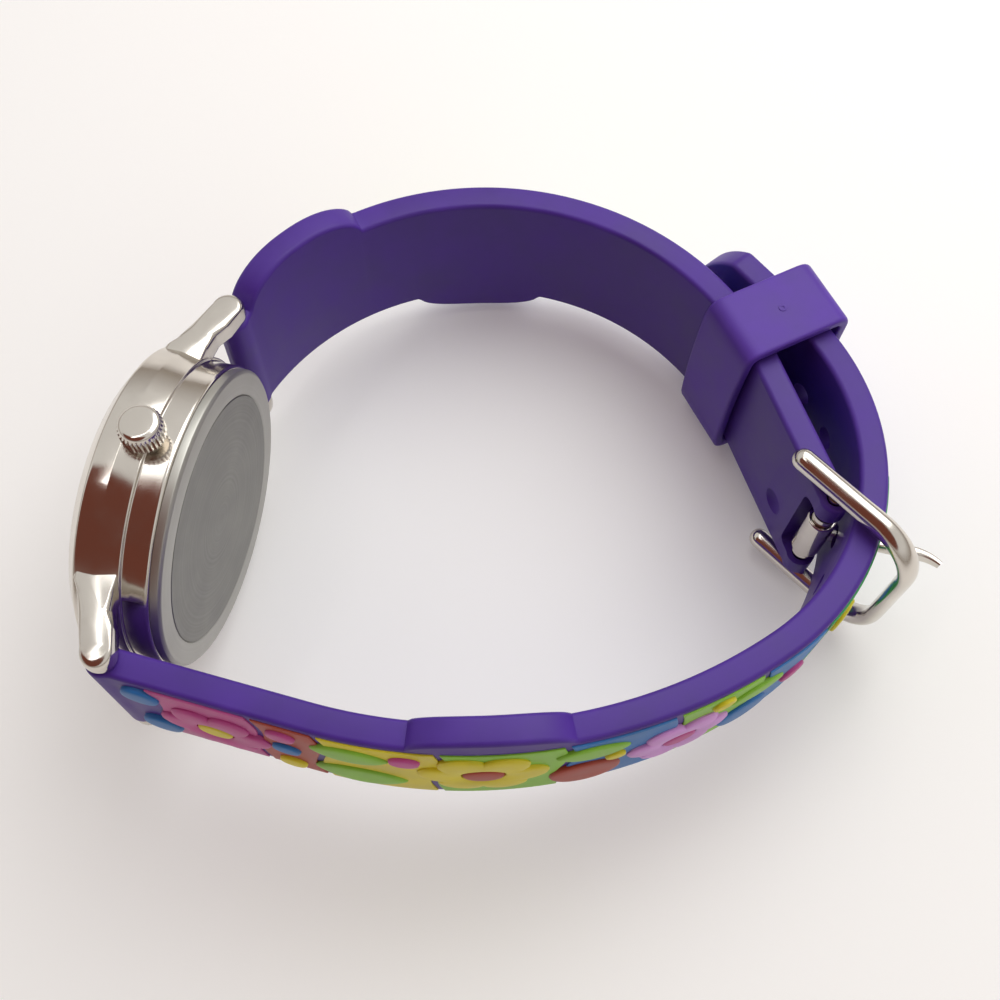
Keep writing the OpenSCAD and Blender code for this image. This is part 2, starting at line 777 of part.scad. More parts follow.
// Crown
crown_outline = [
    for (i = [0 : 2 * crown_flutes - 1])
        polar([0, 0], crown_r - (i % 2) * flute_depth, i * 180 / crown_flutes)
];

module crown() {
    cap_r = crown_r - flute_depth - 0.05;
    color(steel) head() difference() {
        union() {
            translate([0, crown_in, crown_w]) rotate([-90, 0, 0])
                linear_extrude(crown_h - crown_cap_h) polygon(crown_outline);
            translate([0, crown_out - crown_cap_h, crown_w]) rotate([-90, 0, 0])
                cylinder(r1 = cap_r, r2 = cap_r - crown_cap_h, h = crown_cap_h);
        }
        stem_rod(recess_r, crown_in - over, recess_end);
        stem_rod(stem_r + press_fit, crown_in - over, stem_out + run_fit);
    }
}

module crown_stem() {
    color(steel) head() {
        stem_rod(stem_r, stem_in, groove_in);
        stem_rod(groove_r, groove_in - over, groove_out + over);
        stem_rod(stem_r, groove_out, stem_out);
    }
}

module clutch_wheel() {
    color(brass) head() difference() {
        stem_rod(clutch_r, clutch_in, clutch_out);
        stem_rod(stem_r + press_fit, clutch_in - over, clutch_out + over);
    }
}

module crown_gasket() {
    gasket_in = crown_in + 0.2;
    gasket_out = crown_in + 0.6;
    color("#222222") head() difference() {
        stem_rod(recess_r - press_fit, gasket_in, gasket_out);
        stem_rod(tube_r + run_fit, gasket_in - over, gasket_out + over);
    }
}

module crown_tube() {
    color(steel) head() difference() {
        stem_rod(tube_r - press_fit, bore_r - run_fit, tube_out);
        stem_rod(tube_bore, bore_r - over, tube_out + over);
    }
}

module setting_lever() {
    fork = groove_r + run_fit;
    lever_t = groove_out - groove_in - 2 * run_fit;
    lever_h = 1.2;
    color("#c9c4b8") head() difference() {
        translate([-0.9, groove_in + run_fit, crown_w - lever_h / 2]) cube([4.1, lever_t, lever_h]);
        stem_rod(fork, groove_in - over, groove_out + over);
        translate([-1 - over, groove_in - over, crown_w - fork])
            cube([1 + over, lever_t + 3 * over, 2 * fork]);
    }
}

// Spring bars: a tube with a lip at each end that keeps the flanged tips in
module bar_tube(half) {
    bore = bar_flange_r + run_fit;
    mouth = bar_tip_r + run_fit;
    rotate_extrude() polygon([
        [bore, bar_lip - half], [bore, half - bar_lip], [mouth, half - bar_lip], [mouth, half],
        [bar_r, half], [bar_r, -half], [mouth, -half], [mouth, bar_lip - half]
    ]);
}

module bar_tip(half, end) {
    shoulder = half - bar_lip - run_fit;
    rod(bar_flange_r, shoulder - bar_flange_len, shoulder);
    rod(bar_tip_r, shoulder, end);
}

module lug_bar(at) {
    color(steel) lying() translate(at) bar_tube(lug_bar_half);
}

module lug_bar_tip(at, flip) {
    color(steel) lying() translate(at) mirror([0, 0, flip]) bar_tip(lug_bar_half, lug_in + tip_reach);
}

module lug_bar_twelve() { lug_bar(twelve_at); }
module lug_bar_six() { lug_bar(six_at); }
module bar_tip_twelve_crown() { lug_bar_tip(twelve_at, 0); }
module bar_tip_twelve_rest() { lug_bar_tip(twelve_at, 1); }
module bar_tip_six_crown() { lug_bar_tip(six_at, 0); }
module bar_tip_six_rest() { lug_bar_tip(six_at, 1); }

// Plan of a strap: points along its bends, at one face of the strap
function bent(centre, r, from, to, first = 0) = [
    for (i = [first : bend_steps]) polar(centre, r, from + (to - from) * i / bend_steps)
];

function reversed(list) = [for (i = [len(list) - 1 : -1 : 0]) list[i]];

// One face of each strap, offset from its middle line towards the outside
function buckle_face(off) = concat(
    bent(bend_at, buckle_mid + off, bend_from, bend_to), [polar(bar_at, off, bend_to)]
);

function tail_face(off) = concat(
    [polar(six_at, off, tail_leave - 90)],
    bent(wide_at, wide_mid + off, wide_from, wide_to),
    bent(tail_at, tail_mid + off, wide_to, tail_end_deg, 1),
    [polar(polar(tip_at, off, tail_end_deg), tip_len + over, tail_end_deg + 90)]
);

module strap_wall(outer, inner) {
    linear_extrude(strap_w, center = true) polygon(concat(outer, reversed(inner)));
}

// A lobe on the strap's edge: a bent wall cut to a round outline
module lobe(centre, r, deg, length, height, side) {
    lobe_r = (length * length / 4 + height * height) / (2 * height);
    lobe_t = strap_t - 2 * lobe_inset;
    spread = length / r * 180 / PI;
    intersection() {
        translate(centre) rotate(deg - spread / 2) rotate_extrude(angle = spread)
            translate([r - lobe_t / 2, side > 0 ? 0 : -strap_w]) square([lobe_t, strap_w]);
        translate([centre[0], centre[1], side * (strap_w / 2 + height - lobe_r)])
            rotate([0, 90, deg]) cylinder(r = lobe_r, h = r + strap_t);
    }
}

module strap_bore(at, r) {
    translate([at[0], at[1], -strap_w]) cylinder(r = r + run_fit, h = 2 * strap_w);
}

module strap_barrel(at, r) {
    translate([at[0], at[1], -strap_w / 2]) cylinder(r = r, h = strap_w);
}

module buckle_strap() {
    color(purple) lying() difference() {
        union() {
            strap_barrel(twelve_at, barrel_r);
            strap_wall(buckle_face(strap_t / 2), buckle_face(-strap_t / 2));
            strap_barrel(bar_at, tang_eye_r);
            lobe(bend_at, buckle_mid, lug_lobe_deg, lug_lobe_len, lug_lobe_h, 1);
            lobe(bend_at, buckle_mid, far_lobe_deg, side_lobe_len, side_lobe_h, -1);
        }
        strap_bore(twelve_at, bar_r);
        strap_bore(bar_at, bar_r);
        translate([bar_at[0], bar_at[1], -notch_half]) rotate(bend_to - 90)
            translate([-notch_len, -strap_t * 2, 0]) cube([notch_len * 2, strap_t * 4, notch_half * 2]);
    }
}

// What is cut off to leave the tail's tip round
module tip_trim() {
    translate([tip_at[0], tip_at[1], 0]) rotate([90, 0, tail_end_deg + 90])
        translate([tip_len - tip_round, 0, -strap_t]) difference() {
            translate([0, -strap_w, 0]) cube([tip_round + strap_w, 2 * strap_w, 2 * strap_t]);
            translate([0, 0, -strap_t]) cylinder(r = tip_round, h = 4 * strap_t);
        }
}

module tail_holes() {
    for (k = [hole_first : hole_last])
        translate(tail_at) rotate([0, 90, tang_deg + k * hole_step])
            translate([0, 0, tail_r - over]) cylinder(r = hole_r, h = strap_t + inlay_t + 2 * over);
}

module tail_strap() {
    color(purple) lying() difference() {
        union() {
            strap_barrel(six_at, barrel_r);
            strap_wall(tail_face(strap_t / 2), tail_face(-strap_t / 2));
            lobe(wide_at, wide_mid, tail_lobe_deg, side_lobe_len, side_lobe_h, 1);
        }
        strap_bore(six_at, bar_r);
        tip_trim();
        tail_holes();
    }
}

// Skins that the inlays are cut from, lying on the straps' outer faces
module skin_section() {
    translate([strap_t / 2, -tail_outline_r]) square([inlay_t, 2 * tail_outline_r]);
}

module tail_skin() {
    translate(six_at) rotate(tail_leave) rotate([90, 0, 90]) linear_extrude(tail_start)
        mirror([1, 0]) skin_section();
    translate(wide_at) rotate(wide_from) rotate_extrude(angle = wide_to - wide_from)
        translate([wide_mid, 0]) skin_section();
    translate(tail_at) rotate(wide_to) rotate_extrude(angle = tail_end_deg - wide_to)
        translate([tail_mid, 0]) skin_section();
}

module buckle_skin() {
    translate(bend_at) rotate(bend_to) rotate_extrude(angle = buckle_strap_bend)
        translate([buckle_mid, 0]) skin_section();
}

function tail_point(s) =
    s < wide_s ? polar(six_at, s, tail_leave)
    : s < tight_s ? polar(wide_at, wide_mid, wide_from + (s - wide_s) / wide_mid * 180 / PI)
    : polar(tail_at, tail_mid, wide_to + (s - tight_s) / tail_mid * 180 / PI);

function tail_heading(s) =
    s < wide_s ? tail_leave
    : s < tight_s ? tail_leave + (s - wide_s) / wide_mid * 180 / PI
    : wide_to + 90 + (s - tight_s) / tail_mid * 180 / PI;

function tail_size(m) = m[3] * run_len[m[0]];

module on_tail(m) {
    s = run_start[m[0]] + m[1] * run_len[m[0]];
    at = tail_point(s);
    translate([at[0], at[1], m[2]]) rotate([90, 0, tail_heading(s)])
        linear_extrude(strap_t * 2) children();
}

module on_buckle_strap(s, z) {
    deg = bend_from - s / buckle_mid * 180 / PI;
    at = polar(bend_at, buckle_mid, deg);
    translate([at[0], at[1], z]) rotate([90, 0, deg + 90]) linear_extrude(strap_t * 2) children();
}

module flower(r) {
    difference() {
        union() {
            circle(r * petal_reach);
            for (i = [0 : petals - 1]) rotate(360 / petals * i)
                translate([r * petal_reach, 0]) circle(r * petal_size);
        }
        circle(r * flower_eye + press_fit);
    }
}

module leaf(r) {
    offset_r = r * leaf_slim;
    leaf_r = norm([r, offset_r]);
    intersection() {
        translate([0, offset_r]) circle(leaf_r);
        translate([0, -offset_r]) circle(leaf_r);
    }
}

module tail_inlay(tint) {
    color(tint) lying() difference() {
        intersection() {
            tail_skin();
            union() children();
        }
        tail_holes();
    }
}

module buckle_inlay(tint) {
    color(tint) lying() intersection() {
        buckle_skin();
        union() children();
    }
}

module tail_pink() {
    tail_inlay("#c04f93") {
        for (m = tail_flowers_pink) on_tail(m) flower(tail_size(m));
        for (m = tail_pink_dots) on_tail(m) circle(tail_size(m));
        for (m = tail_flowers_lilac) on_tail(m) circle(tail_size(m) * flower_eye);
    }
}

module tail_yellow() {
    tail_inlay("#d8cf2f") {
        for (m = tail_flowers_yellow) on_tail(m) flower(tail_size(m));
        for (m = tail_yellow_dots) on_tail(m) circle(tail_size(m));
        for (m = tail_flowers_pink) on_tail(m) circle(tail_size(m) * flower_eye);
    }
}

module tail_lime() {
    tail_inlay("#8cbf42") for (m = tail_leaves) on_tail(m) leaf(tail_size(m));
}

module tail_red() {
    tail_inlay("#a8432f") {
        for (m = tail_red_dots) on_tail(m) circle(tail_size(m));
        for (m = tail_flowers_yellow) on_tail(m) circle(tail_size(m) * flower_eye);
    }
}

module tail_blue() {
    tail_inlay("#3f7fb5") for (m = tail_blue_dots) on_tail(m) circle(tail_size(m));
}

module tail_lilac() {
    tail_inlay("#d69be0") for (m = tail_flowers_lilac) on_tail(m) flower(tail_size(m));
}

module buckle_strap_pink() {
    buckle_inlay("#c04f93") {
        for (m = buckle_flowers_pink) on_buckle_strap(m[0], m[1]) flower(m[2]);
        for (m = buckle_pink_dots) on_buckle_strap(m[0], m[1]) circle(m[2]);
    }
}

module buckle_strap_yellow() {
    buckle_inlay("#d8cf2f") {
        for (m = buckle_yellow_dots) on_buckle_strap(m[0], m[1]) circle(m[2]);
        for (m = concat(buckle_flowers_pink, buckle_flowers_blue))
            on_buckle_strap(m[0], m[1]) circle(m[2] * flower_eye);
    }
}

module buckle_strap_lime() {
    buckle_inlay("#8cbf42") for (m = buckle_leaves) on_buckle_strap(m[0], m[1]) leaf(m[2]);
}

module buckle_strap_blue() {
    buckle_inlay("#3f7fb5") for (m = buckle_flowers_blue) on_buckle_strap(m[0], m[1]) flower(m[2]);
}

// Keeper: a moulded loop round both straps, its walls bent like the strap
module keeper() {
    color("#6f58ae") lying() translate(bend_at) rotate(keeper_deg) intersection() {
        rotate(-keeper_sweep / 2) rotate_extrude(angle = keeper_sweep) difference() {
            translate([keeper_in - keeper_wall, -keeper_half_h])
                square([keeper_room + 2 * keeper_wall, 2 * keeper_half_h]);
            translate([keeper_in, keeper_wall - keeper_half_h])
                square([keeper_room, 2 * (keeper_half_h - keeper_wall)]);
        }
        translate([0, -keeper_w / 2, -keeper_half_h - over])
            cube([keeper_out + keeper_wall + over, keeper_w, 2 * (keeper_half_h + over)]);
    }
}

// Buckle: a wire bent to a D, with the strap's bar between its arms
module buckle_half() {
    translate([-arm_back, 0, arm_z]) {
        rotate([0, 90, 0]) cylinder(r = wire_r, h = arm_back + arm_len);
        sphere(wire_r);
    }
    translate([arm_len, 0, arm_z - buckle_bend_r]) {
        rotate([90, 0, 0]) rotate_extrude(angle = 90) translate([buckle_bend_r, 0]) circle(wire_r);
        translate([buckle_bend_r, 0, buckle_bend_r - arm_z]) cylinder(r = wire_r, h = arm_z - buckle_bend_r);
    }
}

module buckle_frame() {
    color(steel) lying() translate(bar_at) rotate(buckle_deg) difference() {
        for (flip = [0, 1]) mirror([0, 0, flip]) buckle_half();
        for (flip = [0, 1]) mirror([0, 0, flip])
            rod(bar_tip_r + run_fit, arm_z - wire_r - over, arm_z - wire_r + lug_hole_depth);
    }
}

module buckle_bar() {
    color(steel) lying() translate(bar_at) {
        bar_tube(buckle_bar_half);
        for (flip = [0, 1]) mirror([0, 0, flip]) ring(bar_r - run_fit, collar_r, collar_from, collar_to);
    }
}

module buckle_bar_tip(flip) {
    color(steel) lying() translate(bar_at) mirror([0, 0, flip])
        bar_tip(buckle_bar_half, arm_z - wire_r + tip_reach);
}

module buckle_tip_crown() { buckle_bar_tip(0); }
module buckle_tip_rest() { buckle_bar_tip(1); }

module tang() {
    color(steel) lying() translate(bar_at) rotate(tang_deg + tang_lift) {
        difference() {
            union() {
                rod(tang_eye_r, -tang_eye_w / 2, tang_eye_w / 2);
                translate([0, -tang_t / 2, -tang_w / 2]) cube([tang_len, tang_t, tang_w]);
            }
            rod(bar_r + run_fit, -tang_eye_w, tang_eye_w);
        }
        translate([tang_len, -tang_tip_r, 0]) mirror([1, 0, 0]) rotate(90)
            rotate_extrude(angle = tang_tip_bend)
                translate([tang_tip_r - tang_t / 2, -tang_w / 2]) square([tang_t, tang_w]);
    }
}

case_body();
case_back();
back_gasket();
crystal();
crystal_gasket();
dial();
hour_markers();
movement_holder();
main_plate();
train_bridge();
bridge_screws();
circuit_board();
quartz_can();
coil();
stator();
button_cell();
cell_clip();
crown_tube();
lug_bar_twelve();
lug_bar_six();
bar_tip_twelve_crown();
bar_tip_twelve_rest();
bar_tip_six_crown();
bar_tip_six_rest();
rotor();
fifth_wheel();
second_wheel();
second_hand();
third_wheel();
centre_wheel();
minute_hand();
minute_wheel();
hour_wheel();
hour_hand();
crown();
crown_stem();
clutch_wheel();
crown_gasket();
setting_lever();
buckle_strap();
buckle_strap_pink();
buckle_strap_yellow();
buckle_strap_lime();
buckle_strap_blue();
tail_strap();
tail_pink();
tail_yellow();
tail_lime();
tail_red();
tail_blue();
tail_lilac();
keeper();
buckle_frame();
buckle_bar();
buckle_tip_crown();
buckle_tip_rest();
tang();
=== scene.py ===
"""A child's quartz wrist watch with a soft strap, buckled and lying on its side."""

import json
import math

import bmesh
import bpy
from bpy.props import FloatProperty, FloatVectorProperty, IntProperty, PointerProperty
from mathutils import Matrix, Vector


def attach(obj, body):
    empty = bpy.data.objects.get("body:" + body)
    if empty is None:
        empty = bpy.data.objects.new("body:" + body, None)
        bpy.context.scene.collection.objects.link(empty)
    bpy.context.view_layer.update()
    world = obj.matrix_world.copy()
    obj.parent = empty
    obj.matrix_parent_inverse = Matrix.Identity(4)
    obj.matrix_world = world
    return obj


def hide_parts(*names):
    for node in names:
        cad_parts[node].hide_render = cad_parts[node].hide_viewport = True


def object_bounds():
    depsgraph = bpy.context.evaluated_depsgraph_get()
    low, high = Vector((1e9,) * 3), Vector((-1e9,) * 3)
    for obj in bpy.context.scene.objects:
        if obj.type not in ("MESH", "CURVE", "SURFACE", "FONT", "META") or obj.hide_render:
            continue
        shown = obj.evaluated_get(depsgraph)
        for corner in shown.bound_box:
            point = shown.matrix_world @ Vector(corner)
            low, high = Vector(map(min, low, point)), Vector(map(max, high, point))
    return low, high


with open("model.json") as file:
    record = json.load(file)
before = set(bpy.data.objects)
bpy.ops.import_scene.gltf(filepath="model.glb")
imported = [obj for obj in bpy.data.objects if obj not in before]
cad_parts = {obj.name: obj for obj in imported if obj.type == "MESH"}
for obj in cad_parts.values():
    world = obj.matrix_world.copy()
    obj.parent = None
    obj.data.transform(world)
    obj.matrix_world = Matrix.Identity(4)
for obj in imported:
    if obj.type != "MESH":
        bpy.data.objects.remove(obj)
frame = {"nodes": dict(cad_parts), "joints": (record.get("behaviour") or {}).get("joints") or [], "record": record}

bl_info = {
    "name": "Soft Strap Watch",
    "version": (1, 0, 0),
    "blender": (4, 5, 0),
    "location": "3D View > Sidebar > Watch",
    "description": "Dresses a child's wrist watch: plated case, moulded strap, keeper and wire buckle",
    "category": "Object",
}

CAD_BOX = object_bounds()
RECORD = frame["record"]
MM = 0.001


def linear(code):
    """An sRGB hex colour as linear red, green and blue."""
    shares = [int(code[i:i + 2], 16) / 255 for i in (1, 3, 5)]
    return tuple(c / 12.92 if c <= 0.04045 else ((c + 0.055) / 1.055) ** 2.4 for c in shares)


def joint(name):
    return next(j for j in frame["joints"] if j["name"] == name)


def mount(name):
    return next(m for m in RECORD["mounts"] if m["name"] == name)


# The watch's own axes as it lies: out of the case back, towards twelve o'clock, towards the crown
BACK_AXIS = Vector(mount("case_back")["axis"]).normalized()
CROWN_AXIS = Vector(joint("crown_pull")["axis"]).normalized()
LYING = Matrix((BACK_AXIS, CROWN_AXIS.cross(BACK_AXIS), CROWN_AXIS)).transposed().to_4x4()


def own(point):
    """A point or direction of the frame in the watch's own axes."""
    return LYING.transposed() @ Vector(point)


def plan(name):
    """Where a joint's upright axis stands in the plan of the watch."""
    return own(joint(name)["pos_m"]).xy


TWELVE = plan("buckle_strap_sway")
SIX = plan("tail_strap_sway")
BAR = plan("buckle_swing")
BEND = plan("keeper_slide")
CROWN_X = own(joint("crown_turn")["pos_m"]).x


# Sizes and colours

def length(name, mm, description):
    return FloatProperty(name=name, description=description, default=mm * MM, unit="LENGTH", precision=5)


def turn(name, degrees, description):
    return FloatProperty(
        name=name, description=description, default=math.radians(degrees), subtype="ANGLE"
    )


def tint(name, code, description):
    return FloatVectorProperty(
        name=name, description=description, default=linear(code), size=3, min=0, max=1, subtype="COLOR"
    )


class WatchCaseSizes(bpy.types.PropertyGroup):
    """Sizes of the plated case, its back, its crown and its dial."""

    back_r: length("Back", 14.8, "Radius of the flat outer face of the case back")
    flange_r: length("Flange", 15.1, "Radius of the case back over its bevel")
    drum_r: length("Drum", 15.3, "Radius of the rear drum")
    seam_r: length("Seam", 15.62, "Radius of the front band at its seam")
    band_r: length("Band", 16.0, "Radius of the front band")
    bezel_r: length("Bezel", 13.9, "Radius where the sloping bezel ends")
    seat_r: length("Crystal seat", 13.3, "Radius of the crystal's seat")
    ledge_r: length("Ledge", 12.4, "Radius of the ledge under the crystal")
    bore_r: length("Bore", 13.45, "Radius of the bore for the movement")
    back_t: length("Back thickness", 1.0, "Thickness of the case back")
    seam_x: length("Seam depth", 3.6, "Distance from the back's face to the front band")
    depth: length("Depth", 9.2, "Whole depth of the case")
    bezel_h: length("Bezel height", 1.4, "Height of the sloping bezel")
    band_slope: length("Band slope", 2.2, "Depth over which the front band widens from its seam")
    seat_d: length("Seat depth", 1.0, "Depth of the crystal's seat from the front")
    ledge_d: length("Ledge depth", 2.6, "Depth of the ledge's inner side from the front")
    edge: length("Edges", 0.45, "Radius of the case's polished edges")
    ring_r: length("Engraved ring", 12.6, "Radius of the ring cut in the case back")
    ring_deep: length("Ring depth", 0.12, "Depth of the engraved ring")
    ring_half: length("Ring half", 0.1, "Half width of the engraved ring")
    lug_in: length("Lug inside", 8.2, "Inner face of a lug from the middle of the strap")
    lug_out: length("Lug outside", 10.8, "Outer face of a lug from the middle of the strap")
    lug_tip: length("Lug tip", 1.5, "Radius of a lug's rounded tip")
    lug_edge: length("Lug edges", 0.5, "Radius of the corners of a lug's outline")
    crown_in: length("Crown foot", 16.3, "Foot of the crown from the case's axis")
    crown_out: length("Crown cap", 18.7, "Cap of the crown from the case's axis")
    crown_r: length("Crown radius", 2.05, "Radius of the crown over its fluting")
    flutes: IntProperty(name="Flutes", description="Number of flutes round the crown", default=30)
    flute_deep: length("Flute depth", 0.14, "Depth of the crown's flutes")
    numeral_h: length("Numerals", 2.3, "Height of the dial's numerals")
    numeral_r: length("Numeral ring", 8.2, "Radius of the ring of numerals")
    numeral_t: length("Numeral ink", 0.03, "Thickness of the numerals' ink")


class WatchStrapSizes(bpy.types.PropertyGroup):
    """Sizes of the two straps, their raised colours, the keeper and the buckle."""

    width: length("Width", 16.0, "Width of the strap")
    thick: length("Thickness", 2.8, "Thickness of the strap")
    edge: length("Edge", 0.5, "Radius of the strap's moulded edges")
    barrel: length("Barrel", 1.65, "Radius of the strap's eye round a lug bar")
    bar_eye: length("Bar eye", 1.5, "Radius of the strap's eye round the buckle's bar")
    bar_bore: length("Bar bore", 0.9, "Radius of the strap's bores for its spring bars")
    bend: turn("Bend", 133.5, "Bend of the buckle strap")
    tail_start: length("Tail start", 18.7, "Straight start of the tail strap")
    tail_leave: turn("Tail leaves", -2.6, "Direction in which the tail strap leaves the lugs")
    tail_mid: length("Tail bend", 23.9, "Radius of the tail's tight bend at the middle of its thickness")
    tail_end: turn("Tail end", 52.0, "Angle at which the bent tail ends")
    tip_len: length("Tip", 13.0, "Straight tip of the tail strap")
    tip_round: length("Tip round", 9.6, "Radius of the tail's round tip")
    tip_edge: length("Tip edge", 0.6, "Length over which the tail's tip thins")
    hole_r: length("Holes", 1.25, "Radius of the adjusting holes")
    lug_lobe_h: length("Lug lobe", 3.0, "Height of the lobe beside the lug")
    lug_lobe_len: length("Lug lobe length", 15.5, "Length of the lobe beside the lug")
    lug_lobe_at: turn("Lug lobe place", 18.5, "Place of the lobe beside the lug, round the bend")
    side_lobe_h: length("Side lobes", 2.45, "Height of the two other lobes")
    side_lobe_len: length("Side lobe length", 14.6, "Length of the two other lobes")
    far_lobe_at: turn("Far lobe place", 60.0, "Place of the buckle strap's second lobe, round the bend")
    tail_lobe_at: turn("Tail lobe place", -74.5, "Place of the tail's lobe round its wide bend")
    field_half: length("Field half", 7.3, "Half width of the fields of colour")
    field_h: length("Field height", 0.2, "Height of the fields of colour over the strap")
    field_wave: length("Field wave", 0.5, "Swing of the wavy ends of the fields of colour")
    dimple_r: length("Dimple", 1.9, "Radius of the ball that gives the dimple near the notch")
    dimple_back: length("Dimple place", 5.4, "Dimple's distance from the buckle's bar")
    dimple_across: length("Dimple across", -3.0, "Dimple's place across the strap")
    dimple_out: length("Dimple ball", -2.6, "Middle of the dimple's ball from the middle of the strap")
    keeper_wall: length("Keeper wall", 1.15, "Wall of the keeper")
    keeper_w: length("Keeper width", 7.7, "Width of the keeper along the strap")
    keeper_in: length("Keeper inside", 27.75, "Inner side of the keeper from the bend's centre")
    keeper_room: length("Keeper room", 10.02, "Clear height inside the keeper")
    keeper_half: length("Keeper half", 9.7, "Half of the keeper across the strap")
    keeper_at: turn("Keeper place", 39.0, "Place of the keeper round the bend")
    keeper_corner: length("Keeper corners", 1.3, "Radius of the keeper's corners")
    keeper_edge: length("Keeper edges", 0.42, "Radius of the keeper's moulded edges")
    keeper_bow: length("Keeper bow", 0.35, "Bow of the keeper's inner side")
    wire_r: length("Wire", 1.1, "Radius of the buckle's wire")
    arm_z: length("Arms", 9.6, "Buckle's arm from the middle of the strap")
    arm_back: length("Arm back", 4.5, "Buckle's arm behind its bar")
    reach: length("Reach", 9.6, "Front bar's distance from the buckle's bar")
    front_bend: length("Front bends", 5.0, "Radius of the bends at the buckle's front")
    buckle_deg: turn("Buckle direction", -33.0, "Direction of the buckle's arms")
    tang_deg: turn("Tang direction", -3.0, "Direction of the tang")
    tang_lift: turn("Tang lift", 2.5, "Lift of the resting tang over the hole's direction")
    tang_len: length("Tang", 10.2, "Straight length of the tang")
    tang_t: length("Tang thickness", 1.0, "Thickness of the tang, and where it leaves its eye")
    tang_w: length("Tang width", 1.6, "Width of the tang")
    tang_edge: length("Tang edges", 0.42, "Radius of the tang's edges")
    tang_tip_r: length("Tang tip", 5.0, "Radius of the tang's bent tip")
    tang_bend: turn("Tang bend", 30.0, "Bend of the tang's tip")
    tang_eye_w: length("Tang eye", 6.8, "Width of the tang's rolled eye")
    tang_eye_r: length("Tang eye outside", 1.5, "Outer radius of the tang's rolled eye")
    tang_bore_r: length("Tang eye inside", 0.85, "Inner radius of the tang's rolled eye")
    notch_half: length("Notch", 5.5, "Half of the notch that shows the buckle's bar")
    notch_deep: length("Notch depth", 2.2, "Depth of the notch behind the buckle's bar")
    notch_corner: length("Notch corners", 1.1, "Radius of the notch's inner corners")


class WatchColours(bpy.types.PropertyGroup):
    """Colours of the watch."""

    strap: tint("Strap", "#4B2C8C", "Purple of the moulded strap")
    keeper: tint("Keeper", "#55349A", "Slightly lighter purple of the keeper")
    plating: tint("Plating", "#DAD4CB", "Warm grey of the polished plating")
    back: tint("Case back", "#83827D", "Grey of the satin case back")
    pink: tint("Pink", "#C04F93", "Pink of the raised flowers")
    yellow: tint("Yellow", "#DDD02C", "Yellow of the raised flowers")
    lime: tint("Lime", "#8CC63F", "Lime of the leaves")
    green: tint("Green", "#2A9A4F", "Green of the field near the buckle")
    blue: tint("Blue", "#2F74B8", "Blue of the dots")
    red: tint("Red", "#A8432F", "Brick red of the discs")
    lilac: tint("Lilac", "#D69BE0", "Lilac of the pale flowers")
    floor: tint("Floor", "#F2F2F0", "Pale cloth that the watch lies on")


def case_sizes():
    return bpy.context.scene.watch_case


def strap_sizes():
    return bpy.context.scene.watch_strap


def colours():
    return bpy.context.scene.watch_colours


# Outlines and skins

def polar(r, angle):
    return Vector((math.cos(angle), math.sin(angle))) * r


def circle(count):
    """Angles of points spaced evenly round a circle."""
    return [2 * math.pi * k / count for k in range(count)]


def oblong(x0, x1, y0, y1):
    return [(x0, y0), (x1, y0), (x1, y1), (x0, y1)]


def filleted(points, radius, steps=5):
    """A closed outline with each corner rounded, as far as its sides leave room."""
    out = []
    count = len(points)
    for i, point in enumerate(points):
        corner = Vector(point)
        before = Vector(points[i - 1]) - corner
        after = Vector(points[(i + 1) % count]) - corner
        half = before.angle(after) / 2
        reach = min(radius / math.tan(half), before.length * 0.45, after.length * 0.45)
        start = corner + before.normalized() * reach
        end = corner + after.normalized() * reach
        for k in range(steps + 1):
            t = k / steps
            out.append((start * (1 - t) ** 2 + corner * 2 * t * (1 - t) + end * t * t))
    return out


def skin(rows, columns, first, closed=False):
    """Quads between closed rings of points, ring after ring."""
    faces = []
    for i in range(rows if closed else rows - 1):
        near = first + i * columns
        far = first + (i + 1) % rows * columns
        for j in range(columns):
            after = (j + 1) % columns
            faces.append((near + j, near + after, far + after, far + j))
    return faces


class Shape:
    """Points and faces of one piece, gathered before its mesh is made."""

    def __init__(self):
        self.points = []
        self.faces = []

    def rings(self, rings, closed=False):
        """Skins a run of closed rings, with flat ends unless the run is closed."""
        first = len(self.points)
        columns = len(rings[0])
        for ring in rings:
            self.points.extend(ring)
        self.faces.extend(skin(len(rings), columns, first, closed))
        if not closed:
            last = first + (len(rings) - 1) * columns
            self.faces.append(tuple(range(first + columns - 1, first - 1, -1)))
            self.faces.append(tuple(range(last, last + columns)))

    def turned(self, profile, place, count=144):
        """Turns a closed outline of (radius, height) about an axis; place maps radius, angle, height."""
        self.rings([[place(r, angle, h) for r, h in profile] for angle in circle(count)], closed=True)


def about_case(r, angle, x):
    """A point turned about the case's axis."""
    return Vector((x, r * math.cos(angle), r * math.sin(angle)))


def about_crown(r, angle, z):
    """A point turned about the crown's axis."""
    return Vector((CROWN_X + r * math.cos(angle), r * math.sin(angle), z))


# Pieces from shapes

# Points closer than this are one
WELD = 0.0005 * MM
SMOOTH = 40


def new_object(name, mesh, material):
    """An object that lies as the watch does, in one material."""
    piece = bpy.data.objects.new(name, mesh)
    piece.matrix_world = LYING
    bpy.context.scene.collection.objects.link(piece)
    mesh.materials.clear()
    mesh.materials.append(material)
    return piece


def shade_smooth(piece, smooth):
    """Smooth shading, with edges over an angle in degrees kept sharp."""
    piece.data.polygons.foreach_set("use_smooth", [True] * len(piece.data.polygons))
    piece.data.set_sharp_from_angle(angle=math.radians(smooth))


